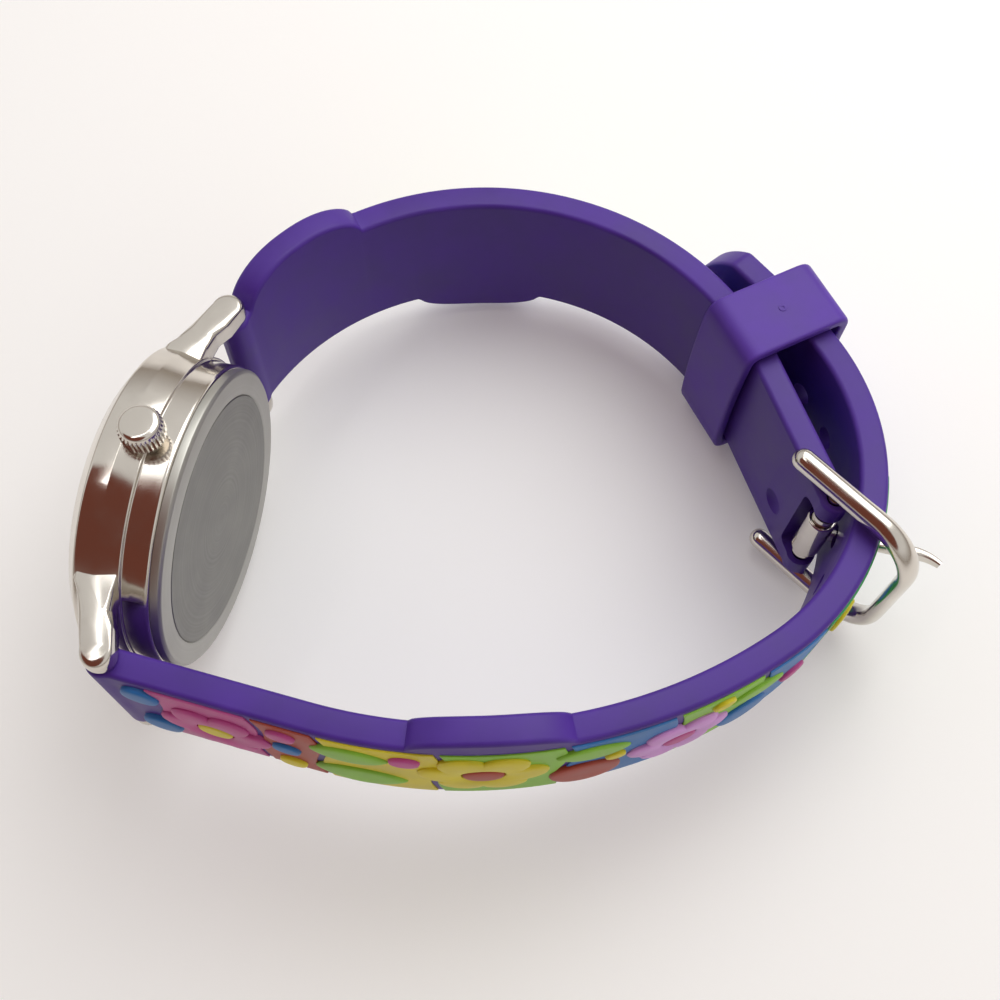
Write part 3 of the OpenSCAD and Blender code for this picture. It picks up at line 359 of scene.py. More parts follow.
def solid(name, shape, material, smooth=SMOOTH):
    """An object from a shape in the watch's own axes."""
    mesh = bpy.data.meshes.new(name)
    mesh.from_pydata([tuple(p) for p in shape.points], [], shape.faces)
    bm = bmesh.new()
    bm.from_mesh(mesh)
    bmesh.ops.remove_doubles(bm, verts=bm.verts, dist=WELD)
    bmesh.ops.recalc_face_normals(bm, faces=bm.faces)
    bm.to_mesh(mesh)
    bm.free()
    mesh.update()
    piece = new_object(name, mesh, material)
    shade_smooth(piece, smooth)
    return piece


def cut_from(piece, cutters):
    """Cuts closed shapes out of a piece and bakes the result into its mesh."""
    for cutter in cutters:
        tool = solid("cutter", cutter, piece.data.materials[0])
        step = piece.modifiers.new("cut", "BOOLEAN")
        step.operation = "DIFFERENCE"
        step.solver = "EXACT"
        step.object = tool
        bpy.context.view_layer.update()
        baked = bpy.data.meshes.new_from_object(
            piece.evaluated_get(bpy.context.evaluated_depsgraph_get())
        )
        piece.modifiers.clear()
        old = piece.data
        name = old.name
        piece.data = baked
        bpy.data.meshes.remove(old)
        baked.name = name
        bpy.data.objects.remove(tool)


def soften_edges(piece, width):
    """A small bevel on the edges that are still sharp."""
    step = piece.modifiers.new("edge", "BEVEL")
    step.width = width
    step.segments = 2
    step.limit_method = "ANGLE"
    step.angle_limit = math.radians(50)
    step.harden_normals = False


def settle(piece, body, replaces=()):
    """Sets a piece on its body, in place of the CAD nodes that it stands for."""
    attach(piece, body)
    if replaces:
        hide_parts(*replaces)


def make_piece(name, shape, material, body, replaces=(), smooth=SMOOTH, cutters=(), edge=0.0):
    """Makes a piece from a shape, cuts and softens it, and sets it on its body."""
    piece = solid(name, shape, material, smooth)
    if cutters:
        cut_from(piece, cutters)
        shade_smooth(piece, smooth)
    if edge:
        soften_edges(piece, edge)
    settle(piece, body, replaces)


def dress(material, *nodes):
    """Puts a material on CAD nodes whose shape is kept."""
    for node in nodes:
        slots = frame["nodes"][node].data.materials
        slots.clear()
        slots.append(material)


# Strap lines

class Straight:
    """A straight run of a strap's middle line."""

    def __init__(self, start, heading, long):
        self.start = start
        self.heading = heading
        self.long = long

    def at(self, t):
        return self.start + polar(t, self.heading), self.heading


class Bent:
    """A bent run of a strap's middle line; its way is 1 to the left and -1 to the right."""

    def __init__(self, centre, radius, first, way, angle):
        self.centre = centre
        self.radius = radius
        self.first = first
        self.way = way
        self.long = radius * angle

    def at(self, t):
        angle = self.first + self.way * t / self.radius
        return self.centre + polar(self.radius, angle), angle + self.way * math.pi / 2


class StrapLine:
    """Middle line of a strap in plan: straight and bent runs, each following the last."""

    def __init__(self, runs, outer_side):
        self.runs = runs
        self.outer_side = outer_side
        self.total = sum(run.long for run in runs)

    def at(self, s):
        """The point at a length along the line, and the way out of the loop there."""
        start = 0.0
        for run in self.runs:
            if s <= start + run.long or run is self.runs[-1]:
                break
            start += run.long
        point, heading = run.at(s - start)
        return point, polar(1, heading + self.outer_side * math.pi / 2)

    def place(self, s, z, out):
        """A point at a length along the line, a height across the strap and a height over its middle."""
        point, way = self.at(s)
        spot = point + way * out
        return Vector((spot.x, spot.y, z))


def buckle_line():
    """One bend from the lugs, then straight to the buckle's bar."""
    z = strap_sizes()
    radius = (TWELVE - BEND).length
    start = math.atan2(*(TWELVE - BEND).yx)
    end = start - z.bend
    bend_end = BEND + polar(radius, end)
    return StrapLine([
        Bent(BEND, radius, start, -1, z.bend),
        Straight(bend_end, end - math.pi / 2, (BAR - bend_end).length),
    ], 1)


def tail_line():
    """Straight, a wide bend that touches its neighbours, a tight bend round the buckle, straight tip."""
    z = strap_sizes()
    hole = mount("strap_hole")
    centre = own(hole["pos_m"]).xy - own(hole["axis"]).xy.normalized() * z.tail_mid
    leave = z.tail_leave
    bend_start = SIX + polar(z.tail_start, leave)
    inward = polar(1, leave + math.pi / 2)
    offset = bend_start - centre
    wide = (z.tail_mid ** 2 - offset.length_squared) / (2 * (offset.dot(inward) + z.tail_mid))
    wide_at = bend_start + inward * wide
    first = leave - math.pi / 2
    last = math.atan2(*(centre - wide_at).yx)
    tip = centre + polar(z.tail_mid, z.tail_end)
    return StrapLine([
        Straight(SIX, leave, z.tail_start),
        Bent(wide_at, wide, first, 1, last - first),
        Bent(centre, z.tail_mid, last, 1, z.tail_end - last),
        Straight(tip, z.tail_end + math.pi / 2, z.tip_len),
    ], -1)


def lobe_rise(s, middle, long, high):
    """Height of a moulded lobe over the strap's edge: steep shoulders and a flat crown."""
    flat, steep = 2.6, 0.62
    share = abs(s - middle) / (long / 2)
    return high * (1 - share ** flat) ** steep if share < 1 else 0.0


def eye_half(away, radius, half_t):
    """Half of a strap's thickness at a length from the bar in its round eye, negative past the bar."""
    if away < math.sqrt(radius ** 2 - half_t ** 2):
        return max(0.2 * MM, math.sqrt(max(0, radius ** 2 - away ** 2)))
    return half_t


def strap_ring(line, s, half_t, low, high, edge, steps=5):
    """One cross-section of a strap: a rectangle with rounded corners."""
    r = min(edge, half_t * 0.95, (high - low) * 0.45)
    ring = []
    for out, z, first in ((1, 1, 0), (-1, 1, 1), (-1, -1, 2), (1, -1, 3)):
        mid_out = out * (half_t - r)
        mid_z = (high - r) if z > 0 else (low + r)
        for k in range(steps + 1):
            angle = (first + k / steps) * math.pi / 2
            ring.append(line.place(s, mid_z + r * math.sin(angle), mid_out + r * math.cos(angle)))
    return ring


def stations(start, end):
    """Places along a strap, closer together near its rounded ends."""
    ends, fine_steps, step = 1.7 * MM, 12, 0.35 * MM
    fine = [start + ends * (1 - math.cos(math.pi / 2 * k / fine_steps)) for k in range(fine_steps)]
    between = end - start - 2 * ends
    count = max(2, round(between / step))
    middle = [start + ends + between * k / count for k in range(count + 1)]
    return fine + middle + [start + end - f for f in reversed(fine)]


def strap_shape(line, start, end, half_t, low, high, edge):
    """A strap along its line; its thickness and both edges are functions of the place."""
    shape = Shape()
    shape.rings([strap_ring(line, s, half_t(s), low(s), high(s), edge) for s in stations(start, end)])
    return shape


def rod_shape(base, axis, radius, reach):
    """A round cutter about an axis through a point."""
    side = axis.orthogonal().normalized()
    up = axis.cross(side)
    ways = [side * math.cos(angle) + up * math.sin(angle) for angle in circle(40)]
    shape = Shape()
    shape.rings([[base + axis * end + way * radius for way in ways] for end in (-reach, reach)])
    return shape


def bar_bore(at, z):
    """Cutter for a spring bar's bore through the width of a strap."""
    return rod_shape(Vector((at.x, at.y, 0)), Vector((0, 0, 1)), z.bar_bore, z.width)


def hole_shapes(line, z):
    """Cutters for the six adjusting holes, spaced from the one that the tang goes through."""
    through = 3 * MM
    centre = line.runs[2].centre
    hole = own(mount("strap_hole")["pos_m"]).xy - centre
    step = z.tang_deg - math.atan2(hole.y, hole.x)
    cutters = []
    for k in range(-2, 4):
        way = polar(1, z.tang_deg + k * step)
        spot = centre + way * z.tail_mid
        cutters.append(rod_shape(spot.to_3d(), way.to_3d(), z.hole_r, through))
    return cutters


# Raised motifs of the straps

def petal_outline(angle):
    """Six round petals with shallow valleys between them."""
    petals, deep = 6, 0.26
    return 1 - deep + deep * abs(math.cos(petals * angle / 2)) ** 0.7


def round_outline(angle):
    return 1.0


def leaf_outline(angle):
    """A pointed oval, longest along the strap."""
    slim = 0.55 * abs(math.sin(angle))
    return math.sqrt(slim * slim + 1) - slim


# Share of a motif's size and share of its height, from its foot to its crown
DOME = ((1.0, -0.25), (1.0, 0.55), (0.97, 0.8), (0.9, 0.97), (0.7, 1.06), (0.35, 1.12))

# Each kind of motif: outline, share of the listed size, height in millimetres and share of its open middle
KINDS = {
    "flowers": (petal_outline, 1.0, 0.62, 0.34),
    "dots": (round_outline, 1.0, 0.55, 0.0),
    "leaves": (leaf_outline, 1.0, 0.5, 0.0),
    "eyes": (round_outline, 0.32, 0.6, 0.0),
}

# Motifs: place along the strap, place across it and size; fields: start and end; all in millimetres
TAIL_MOTIFS = {
    "tail_pink": {
        "flowers": [(9.6, -0.4, 5.4)],
        "eyes": [(52.68, -0.6, 5.08)],
        "dots": [(64.98, 0, 1.43), (27.6, 4.6, 1.38), (16.6, 4.8, 1.4)],
        "fields": [(4.4, 13.6)],
    },
    "tail_yellow": {
        "flowers": [(34.46, 1, 5.88)],
        "eyes": [(9.6, -0.4, 5.4)],
        "dots": [(46.31, 1.2, 0.98), (56.19, 5.4, 1.16), (16.6, -5, 1.4), (70.66, 4, 1.79)],
        "fields": [(20.2, 30.2)],
    },
    "tail_lime": {
        "leaves": [(23.29, -3.4, 4.32), (22.71, 3.9, 3.52), (44.08, 4.2, 3.34), (60.11, 3.4, 2.94)],
        "fields": [(30.8, 41.4), (52, 60.2)],
    },
    "tail_red": {
        "dots": [(43.86, -3, 3.34)],
        "eyes": [(34.46, 1, 5.88)],
        "fields": [(14.2, 19.6)],
    },
    "tail_blue": {
        "dots": [
            (3.4, 5, 1.8), (3.4, -4.6, 2), (59.93, -3.4, 2.76), (16.6, 0.2, 1.4), (76.66, -4, 1.79),
        ],
        "fields": [(42, 51.4), (60.8, 67.4)],
    },
    "tail_lilac": {"flowers": [(52.68, -0.6, 5.08)]},
    "tail_green": {"fields": [(68, 84)]},
}
BUCKLE_MOTIFS = {
    "buckle_strap_pink": {
        "flowers": [(16, 0.6, 5.4)],
        "dots": [(54, 0, 2.8), (42.8, 5.2, 1.2)],
        "fields": [(5.4, 12.4)],
    },
    "buckle_strap_yellow": {
        "dots": [(46.6, -3.8, 2.6), (30.2, 0.8, 1.2), (9.8, -5.2, 1.4)],
        "eyes": [(16, 0.6, 5.4), (37, -0.4, 5.4)],
        "fields": [(22, 32)],
    },
    "buckle_strap_lime": {
        "leaves": [(7.2, 0.6, 3.8), (26.4, -3.2, 4.2), (27, 4, 3.6), (46.8, 3, 4)],
        "fields": [(13, 21.4), (40.6, 50)],
    },
    "buckle_strap_blue": {
        "flowers": [(37, -0.4, 5.4)],
        "fields": [(32.6, 40), (50.6, 60), (69.5, 78.5)],
    },
}


def add_motif(shape, line, face, spot, outline, high, eye):
    """A raised motif with a rounded edge, bent to the strap's outer face, with an open middle or none."""
    along, across, size = (v * MM for v in spot)
    levels = [(share, rise, outline) for share, rise in DOME if share > eye + 0.1]
    if eye:
        inside = ((eye + 0.06, 0.95), (eye, 0.7), (eye, -0.25))
        levels += [(share, rise, round_outline) for share, rise in inside]
    rings = []
    for share, rise, edge in levels:
        ring = []
        for angle in circle(72):
            r = size * share * edge(angle)
            ring.append(line.place(
                along + r * math.cos(angle), across + r * math.sin(angle), face + rise * high,
            ))
        rings.append(ring)
    shape.rings(rings, closed=bool(eye))


def add_field(shape, line, face, start, end, sizes):
    """A thin field of colour across the strap, with wavy ends and rounded edges."""
    high = sizes.field_h
    rows = 14
    columns = max(6, int((end - start) / (0.8 * MM)))
    width = columns + 1
    inset = 0.25 * MM
    ripple = 2.2 * MM

    def spot(i, j, sink, lift):
        z = (sizes.field_half - sink) * (2 * i / rows - 1)
        swing = sizes.field_wave * math.sin(z / ripple)
        a = start + swing + sink
        b = end + swing - sink
        return line.place(a + (b - a) * j / columns, z, face + lift)

    rim = [(0, j) for j in range(columns)] + [(i, columns) for i in range(rows)]
    rim += [(rows, j) for j in range(columns, 0, -1)] + [(i, 0) for i in range(rows, 0, -1)]
    count = len(rim)
    first = len(shape.points)
    levels = ((0, -0.15 * MM), (0, 0.6 * high), (inset * 0.4, 0.9 * high))
    for sink, lift in levels:
        shape.points.extend(spot(i, j, sink, lift) for i, j in rim)
    shape.faces.extend(skin(len(levels), count, first))
    shape.faces.append(tuple(range(first + count - 1, first - 1, -1)))
    top = len(shape.points)
    shape.points.extend(spot(i, j, inset, high) for i in range(rows + 1) for j in range(width))
    for i in range(rows):
        for j in range(columns):
            a = top + i * width + j
            shape.faces.append((a, a + 1, a + width + 1, a + width))
    upper = first + (len(levels) - 1) * count
    inner = [top + i * width + j for i, j in rim]
    for k in range(count):
        after = (k + 1) % count
        shape.faces.append((upper + k, upper + after, inner[after], inner[k]))


# Materials

def feed(tree, node, links):
    """Sets a node's inputs; links holds a value or a socket for each."""
    for key, value in links.items():
        if isinstance(value, bpy.types.NodeSocket):
            tree.links.new(value, node.inputs[key])
        else:
            node.inputs[key].default_value = value


def add(tree, kind, links=None, stops=(), **settings):
    """Adds a node with its settings, its inputs and, where it has them, its colour stops."""
    node = tree.nodes.new(kind)
    for key, value in settings.items():
        setattr(node, key, value)
    for i, (position, colour) in enumerate(stops):
        node.color_ramp.elements[i].position = position
        node.color_ramp.elements[i].color = colour
    feed(tree, node, links or {})
    return node


def blank(name):
    """A new material with a shader and the piece's own coordinates."""
    material = bpy.data.materials.new(name)
    material.use_nodes = True
    tree = material.node_tree
    tree.nodes.clear()
    shader = add(tree, "ShaderNodeBsdfPrincipled")
    add(tree, "ShaderNodeOutputMaterial", {"Surface": shader.outputs[0]})
    spots = add(tree, "ShaderNodeTexCoord").outputs["Object"]
    return material, tree, shader, spots


def kept(maker):
    """A finish that is asked for again by its name is the same material."""
    def finish(name, *values):
        return bpy.data.materials.get(name) or maker(name, *values)
    return finish


def shade(colour, share=1.0):
    return tuple(min(1, c * share) for c in colour) + (1,)


@kept
def moulded_pvc(name, colour):
    """Soft PVC, moulded: a satin skin with a fine tooled grain, slight clouding and a rubbed sheen."""
    material, tree, shader, spots = blank(name)
    clouds = add(tree, "ShaderNodeTexNoise", {"Vector": spots, "Scale": 1 / (5 * MM), "Detail": 4.0})
    tone = add(tree, "ShaderNodeValToRGB", {"Fac": clouds.outputs["Fac"]}, (
        (0.3, shade(colour, 0.86)), (0.72, shade(colour, 1.1)),
    ))
    rub = add(tree, "ShaderNodeMapRange", {
        "Value": clouds.outputs["Fac"], "From Min": 0.3, "From Max": 0.7, "To Min": 0.38, "To Max": 0.52,
    })
    # Tooled grain of 0.25 mm
    grain = add(tree, "ShaderNodeTexNoise", {"Vector": spots, "Scale": 1 / (0.25 * MM), "Detail": 2.0})
    bump = add(tree, "ShaderNodeBump", {
        "Height": grain.outputs["Fac"], "Strength": 0.12, "Distance": 0.03 * MM,
    })
    feed(tree, shader, {
        "Base Color": tone.outputs["Color"], "Roughness": rub.outputs["Result"],
        "Normal": bump.outputs["Normal"], "IOR": 1.53, "Specular IOR Level": 0.25,
        "Subsurface Weight": 0.06, "Subsurface Radius": (0.6, 0.4, 0.8), "Subsurface Scale": 0.8 * MM,
    })
    return material


@kept
def polished_plating(name, colour):
    """Plated alloy, polished: a bright warm mirror with smears from fingers and hairline scratches."""
    material, tree, shader, spots = blank(name)
    smears = add(tree, "ShaderNodeTexNoise", {"Vector": spots, "Scale": 1 / (3.5 * MM), "Detail": 5.0})
    dull = add(tree, "ShaderNodeMapRange", {
        "Value": smears.outputs["Fac"], "From Min": 0.35, "From Max": 0.75,
        "To Min": 0.1, "To Max": 0.26,
    })
    tone = add(tree, "ShaderNodeValToRGB", {"Fac": smears.outputs["Fac"]}, (
        (0.3, shade(colour)), (0.8, shade(colour, 0.86)),
    ))
    # Hairlines 0.15 mm apart, drawn out along the case
    lines = add(tree, "ShaderNodeMapping", {"Vector": spots, "Scale": (0.08, 1, 1)})
    hair = add(tree, "ShaderNodeTexNoise", {
        "Vector": lines.outputs["Vector"], "Scale": 1 / (0.15 * MM), "Detail": 1.0,
    })
    bump = add(tree, "ShaderNodeBump", {
        "Height": hair.outputs["Fac"], "Strength": 0.05, "Distance": 0.01 * MM,
    })
    feed(tree, shader, {
        "Base Color": tone.outputs["Color"], "Roughness": dull.outputs["Result"],
        "Normal": bump.outputs["Normal"], "Metallic": 1.0,
    })
    return material


@kept
def satin_steel(name, colour, ring):
    """Stainless steel, lapped on a wheel inside a brighter ring: fine rings and a soft grey sheen."""
    material, tree, shader, spots = blank(name)
    parts = add(tree, "ShaderNodeSeparateXYZ", {"Vector": spots})
    flat = add(tree, "ShaderNodeCombineXYZ", {"X": parts.outputs["Y"], "Y": parts.outputs["Z"]})
    radius = add(tree, "ShaderNodeVectorMath", {0: flat.outputs["Vector"]}, operation="LENGTH")
    # Lapping rings 0.3 mm apart, drawn coarser than the real ones so that they show
    line = add(tree, "ShaderNodeMath", {
        0: radius.outputs["Value"], 1: 1 / (0.3 * MM),
    }, operation="MULTIPLY")
    rings = add(tree, "ShaderNodeTexNoise", {
        "W": line.outputs["Value"], "Scale": 1.0, "Detail": 3.0,
    }, noise_dimensions="1D")
    clouds = add(tree, "ShaderNodeTexNoise", {"Vector": spots, "Scale": 1 / (4 * MM), "Detail": 4.0})
    both = add(tree, "ShaderNodeMath", {0: rings.outputs["Fac"], 1: clouds.outputs["Fac"]})
    dull = add(tree, "ShaderNodeMapRange", {
        "Value": both.outputs["Value"], "From Min": 0.7, "From Max": 1.4, "To Min": 0.35, "To Max": 0.47,
    })
    tone = add(tree, "ShaderNodeValToRGB", {"Fac": clouds.outputs["Fac"]}, (
        (0.3, shade(colour, 0.84)), (0.72, shade(colour, 1.16)),
    ))
    outer = add(tree, "ShaderNodeMath", {0: radius.outputs["Value"], 1: ring}, operation="GREATER_THAN")
    zones = add(tree, "ShaderNodeMix", {
        0: outer.outputs["Value"], 6: tone.outputs["Color"], 7: shade(colour, 1.9),
    }, data_type="RGBA")
    bump = add(tree, "ShaderNodeBump", {
        "Height": rings.outputs["Fac"], "Strength": 0.03, "Distance": 0.02 * MM,
    })
    feed(tree, shader, {
        "Base Color": zones.outputs[2], "Roughness": dull.outputs["Result"],
        "Normal": bump.outputs["Normal"], "Metallic": 0.9,
    })
    return material


@kept
def stamped_metal(name, code, rough):
    """Stamped and tumbled sheet metal: even sheen with a fine tumbled grain of 0.4 mm."""
    material, tree, shader, spots = blank(name)
    grain = add(tree, "ShaderNodeTexNoise", {"Vector": spots, "Scale": 1 / (0.4 * MM), "Detail": 3.0})
    tone = add(tree, "ShaderNodeValToRGB", {"Fac": grain.outputs["Fac"]}, (
        (0, shade(linear(code), 0.85)), (1, shade(linear(code), 1.1)),
    ))
    bump = add(tree, "ShaderNodeBump", {
        "Height": grain.outputs["Fac"], "Strength": 0.08, "Distance": 0.02 * MM,
    })
    feed(tree, shader, {
        "Base Color": tone.outputs["Color"], "Normal": bump.outputs["Normal"],
        "Metallic": 1.0, "Roughness": rough,
    })
    return material


@kept
def coated_sheet(name, code, rough):
    """Enamel or moulded plastic: an even coat with a faint orange-peel skin of 0.5 mm."""
    material, tree, shader, spots = blank(name)
    peel = add(tree, "ShaderNodeTexNoise", {"Vector": spots, "Scale": 1 / (0.5 * MM), "Detail": 2.0})
    tone = add(tree, "ShaderNodeValToRGB", {"Fac": peel.outputs["Fac"]}, (
        (0, shade(linear(code), 0.93)), (1, shade(linear(code), 1.05)),
    ))
    bump = add(tree, "ShaderNodeBump", {
        "Height": peel.outputs["Fac"], "Strength": 0.05, "Distance": 0.02 * MM,
    })
    feed(tree, shader, {
        "Base Color": tone.outputs["Color"], "Normal": bump.outputs["Normal"], "Roughness": rough,
    })
    return material


@kept
def mineral_glass(name):
    """Mineral glass, polished: clear, with faint smears and a cool edge."""
    material, tree, shader, spots = blank(name)
    smears = add(tree, "ShaderNodeTexNoise", {"Vector": spots, "Scale": 1 / (6 * MM), "Detail": 4.0})
    dull = add(tree, "ShaderNodeMapRange", {
        "Value": smears.outputs["Fac"], "From Min": 0.4, "From Max": 0.8, "To Min": 0.01, "To Max": 0.06,
    })
    feed(tree, shader, {
        "Base Color": shade(linear("#F4F9FA")), "Roughness": dull.outputs["Result"],
        "Transmission Weight": 1.0, "IOR": 1.5,
    })
    return material


# Finishes that several pieces share

def plating():
    return polished_plating("Polished plated alloy", colours().plating)


def turned_steel():
    return stamped_metal("Turned steel", "#BDB9B0", 0.28)


def brass():
    return stamped_metal("Stamped brass", "#B59A55", 0.35)


def black_rubber():
    return coated_sheet("Black nitrile rubber", "#242424", 0.6)


def strap_pvc():
    return moulded_pvc("Moulded soft PVC, purple", colours().strap)


# Pieces

# Side outline of a lug before and behind its round tip, and its middle, in millimetres
LUG_FRONT = ((-7.9, 10.4), (-7.75, 12.2), (-7.1, 13.2), (-6.2, 15.4))
LUG_BACK = ((-2.5, 16.0), (-3.35, 14.5), (-3.6, 12.7), (-3.8, 10.4))
LUG_MIDDLE = (-4.6, 14.6)
# Share of a lug's width, and how far its outline is drawn in there, in millimetres
LUG_LEVELS = (
    (0, 0.18), (0.08, 0.04), (0.16, 0), (0.62, 0), (0.8, 0.07), (0.92, 0.25), (0.98, 0.5), (1, 0.8),
)


class WATCH_OT_case(bpy.types.Operator):
    """Plated case with four lugs, and its satin back"""

    bl_idname = "watch.case"
    bl_label = "Case and back"

    def execute(self, context):
        z = case_sizes()
        front = -z.depth
        shape = Shape()
        shape.turned(filleted([
            (z.bore_r, -z.back_t), (z.drum_r, -z.back_t), (z.drum_r, -z.seam_x), (z.seam_r, -z.seam_x),
            (z.band_r, -z.seam_x - z.band_slope), (z.band_r, front + z.bezel_h), (z.bezel_r, front),
            (z.seat_r, front), (z.seat_r, front + z.seat_d), (z.ledge_r, front + z.seat_d),
            (z.ledge_r, front + z.ledge_d), (z.bore_r, front + z.ledge_d),
        ], z.edge), about_case)
        for y_way in (1, -1):
            for z_way in (1, -1):
                self.add_lug(shape, z, y_way, z_way)
        make_piece("case_shell", shape, plating(), "head", ("case_body",), 32)

        # Flat face with its engraved ring, then a bevelled flange
        back = Shape()
        back.turned([
            (0.0, 0.0), (z.ring_r - z.ring_half, 0.0), (z.ring_r, -z.ring_deep),
            (z.ring_r + z.ring_half, 0.0), (z.back_r - 0.1 * MM, 0.0), (z.back_r, -0.03 * MM),
            (z.flange_r - 0.04 * MM, -0.26 * MM), (z.flange_r, -0.36 * MM), (z.flange_r, -z.back_t),
            (0.0, -z.back_t),
        ], about_case)
        steel = satin_steel("Lapped stainless steel", colours().back, z.ring_r)
        make_piece("back_plate", back, steel, "head", ("case_back",), 25)
        return {"FINISHED"}

    @staticmethod
    def add_lug(shape, z, y_way, z_way):
        """One horn: its side outline round the bar, thickened across the strap with soft edges."""
        tip = Vector((TWELVE.x, abs(TWELVE.y)))
        steps, first, sweep = 24, 172, 186
        outline = [Vector(p) * MM for p in LUG_FRONT]
        for k in range(steps + 1):
            outline.append(tip + polar(z.lug_tip, math.radians(first - sweep * k / steps)))
        outline += [Vector(p) * MM for p in LUG_BACK]
        outline = filleted(outline, z.lug_edge, 3)
        middle = Vector(LUG_MIDDLE) * MM
        wide = z.lug_out - z.lug_in
        # The outer side falls away towards the tip
        fall_from, fall_long, fall_share = 12 * MM, 8 * MM, 0.22
        rings = []
        for share, inset in LUG_LEVELS:
            ring = []
            for point in outline:
                spot = point - (point - middle).normalized() * inset * MM
                fall = max(0.0, (spot.y - fall_from) / fall_long) * fall_share
                height = z.lug_in + wide * share * (1 - fall)
                ring.append(Vector((spot.x, spot.y * y_way, height * z_way)))
            rings.append(ring)
        shape.rings(rings)


# Share of the crown's height, share of its radius, and share of the flutes' depth there
CROWN_LEVELS = (
    (0.0, 0.35, 0), (0.0, 0.86, 0), (0.03, 0.93, 0.4), (0.1, 1.0, 1), (0.66, 1.0, 1), (0.74, 0.97, 0.6),
    (0.79, 0.91, 0), (0.86, 0.9, 0), (0.95, 0.84, 0), (0.99, 0.74, 0), (1.0, 0.6, 0), (1.0, 0.02, 0),
)


class WATCH_OT_crown(bpy.types.Operator):
    """Fluted crown with a polished cap, and its stem"""

    bl_idname = "watch.crown"
    bl_label = "Crown"

    def execute(self, context):
        z = case_sizes()
        tall = z.crown_out - z.crown_in
        rings = []
        for share, wide, flute in CROWN_LEVELS:
            ring = []
            for angle in circle(z.flutes * 8):
                dip = z.flute_deep * flute * (0.5 - 0.5 * math.cos(z.flutes * angle))
                ring.append(about_crown(z.crown_r * wide - dip, angle, z.crown_in + tall * share))
            rings.append(ring)
        shape = Shape()
        shape.rings(rings)
        make_piece("crown_knob", shape, plating(), "crown", ("crown",), 50)
        dress(turned_steel(), "crown_stem", "crown_tube", "setting_lever")
        dress(brass(), "clutch_wheel")
        dress(black_rubber(), "crown_gasket")
        return {"FINISHED"}


class WATCH_OT_dial(bpy.types.Operator):
    """Dial with plain numerals, hands and crystal"""

    bl_idname = "watch.dial"
    bl_label = "Dial and crystal"

    def execute(self, context):
        dress(coated_sheet("Satin enamel, cream", "#F2EFE6", 0.45), "dial")
        dress(coated_sheet("Gloss enamel, blue", "#3F6FB5", 0.25), "hour_markers", "minute_hand")
        dress(coated_sheet("Gloss enamel, magenta", "#A03A60", 0.25), "hour_hand")
        dress(coated_sheet("Gloss enamel, yellow", "#D8CF2F", 0.25), "second_hand")
        dress(mineral_glass("Mineral glass"), "crystal")
        dress(coated_sheet("White nylon", "#E6E6E0", 0.4), "crystal_gasket")
        dress(black_rubber(), "back_gasket")
        inks = ("#7A2F8F", "#C04F93", "#2F74B8", "#3C9A3F")
        face = max(own(v.co).x for v in frame["nodes"]["hour_markers"].data.vertices)
        for hour in range(1, 13):
            code = inks[hour % len(inks)]
            self.add_numeral(hour, face, coated_sheet("Dial ink " + code[1:], code, 0.4))
        return {"FINISHED"}

    @staticmethod
    def add_numeral(hour, face, ink):
        """A numeral lying on the dial, upright as the dial is read."""
        z = case_sizes()
        letters = bpy.data.curves.new("numeral", "FONT")
        letters.body = str(hour)
        letters.size = z.numeral_h
        letters.extrude = z.numeral_t
        letters.align_x = "CENTER"
        letters.align_y = "CENTER"
        letters.resolution_u = 4
        holder = bpy.data.objects.new("numeral", letters)
        bpy.context.scene.collection.objects.link(holder)
        bpy.context.view_layer.update()
        mesh = bpy.data.meshes.new_from_object(
            holder.evaluated_get(bpy.context.evaluated_depsgraph_get())
        )
        bpy.data.objects.remove(holder)
        spot = about_case(z.numeral_r, math.radians(30 * hour), face - z.numeral_t)
        stand = Matrix(((0, 0, -1), (0, 1, 0), (1, 0, 0))).to_4x4()
        mesh.transform(Matrix.Translation(spot) @ stand)
        settle(new_object(f"numeral_{hour}", mesh, ink), "head")


class WATCH_OT_movement(bpy.types.Operator):
    """Finishes of the quartz movement and the spring bars"""

    bl_idname = "watch.movement"
    bl_label = "Movement and spring bars"

    def execute(self, context):
        dress(
            brass(), "main_plate", "train_bridge", "second_wheel", "third_wheel", "centre_wheel",
            "minute_wheel", "hour_wheel",
        )
        dress(
            turned_steel(), "bridge_screws", "quartz_can", "stator", "button_cell", "cell_clip", "rotor",
            "lug_bar_twelve", "lug_bar_six", "bar_tip_twelve_crown", "bar_tip_twelve_rest",
            "bar_tip_six_crown", "bar_tip_six_rest", "buckle_tip_crown", "buckle_tip_rest",
        )
        dress(coated_sheet("White acetal", "#E0DED6", 0.5), "movement_holder", "fifth_wheel")
        dress(stamped_metal("Enamelled copper wire", "#A8632E", 0.4), "coil")
        dress(coated_sheet("Green solder mask", "#2F6B45", 0.35), "circuit_board")
        return {"FINISHED"}


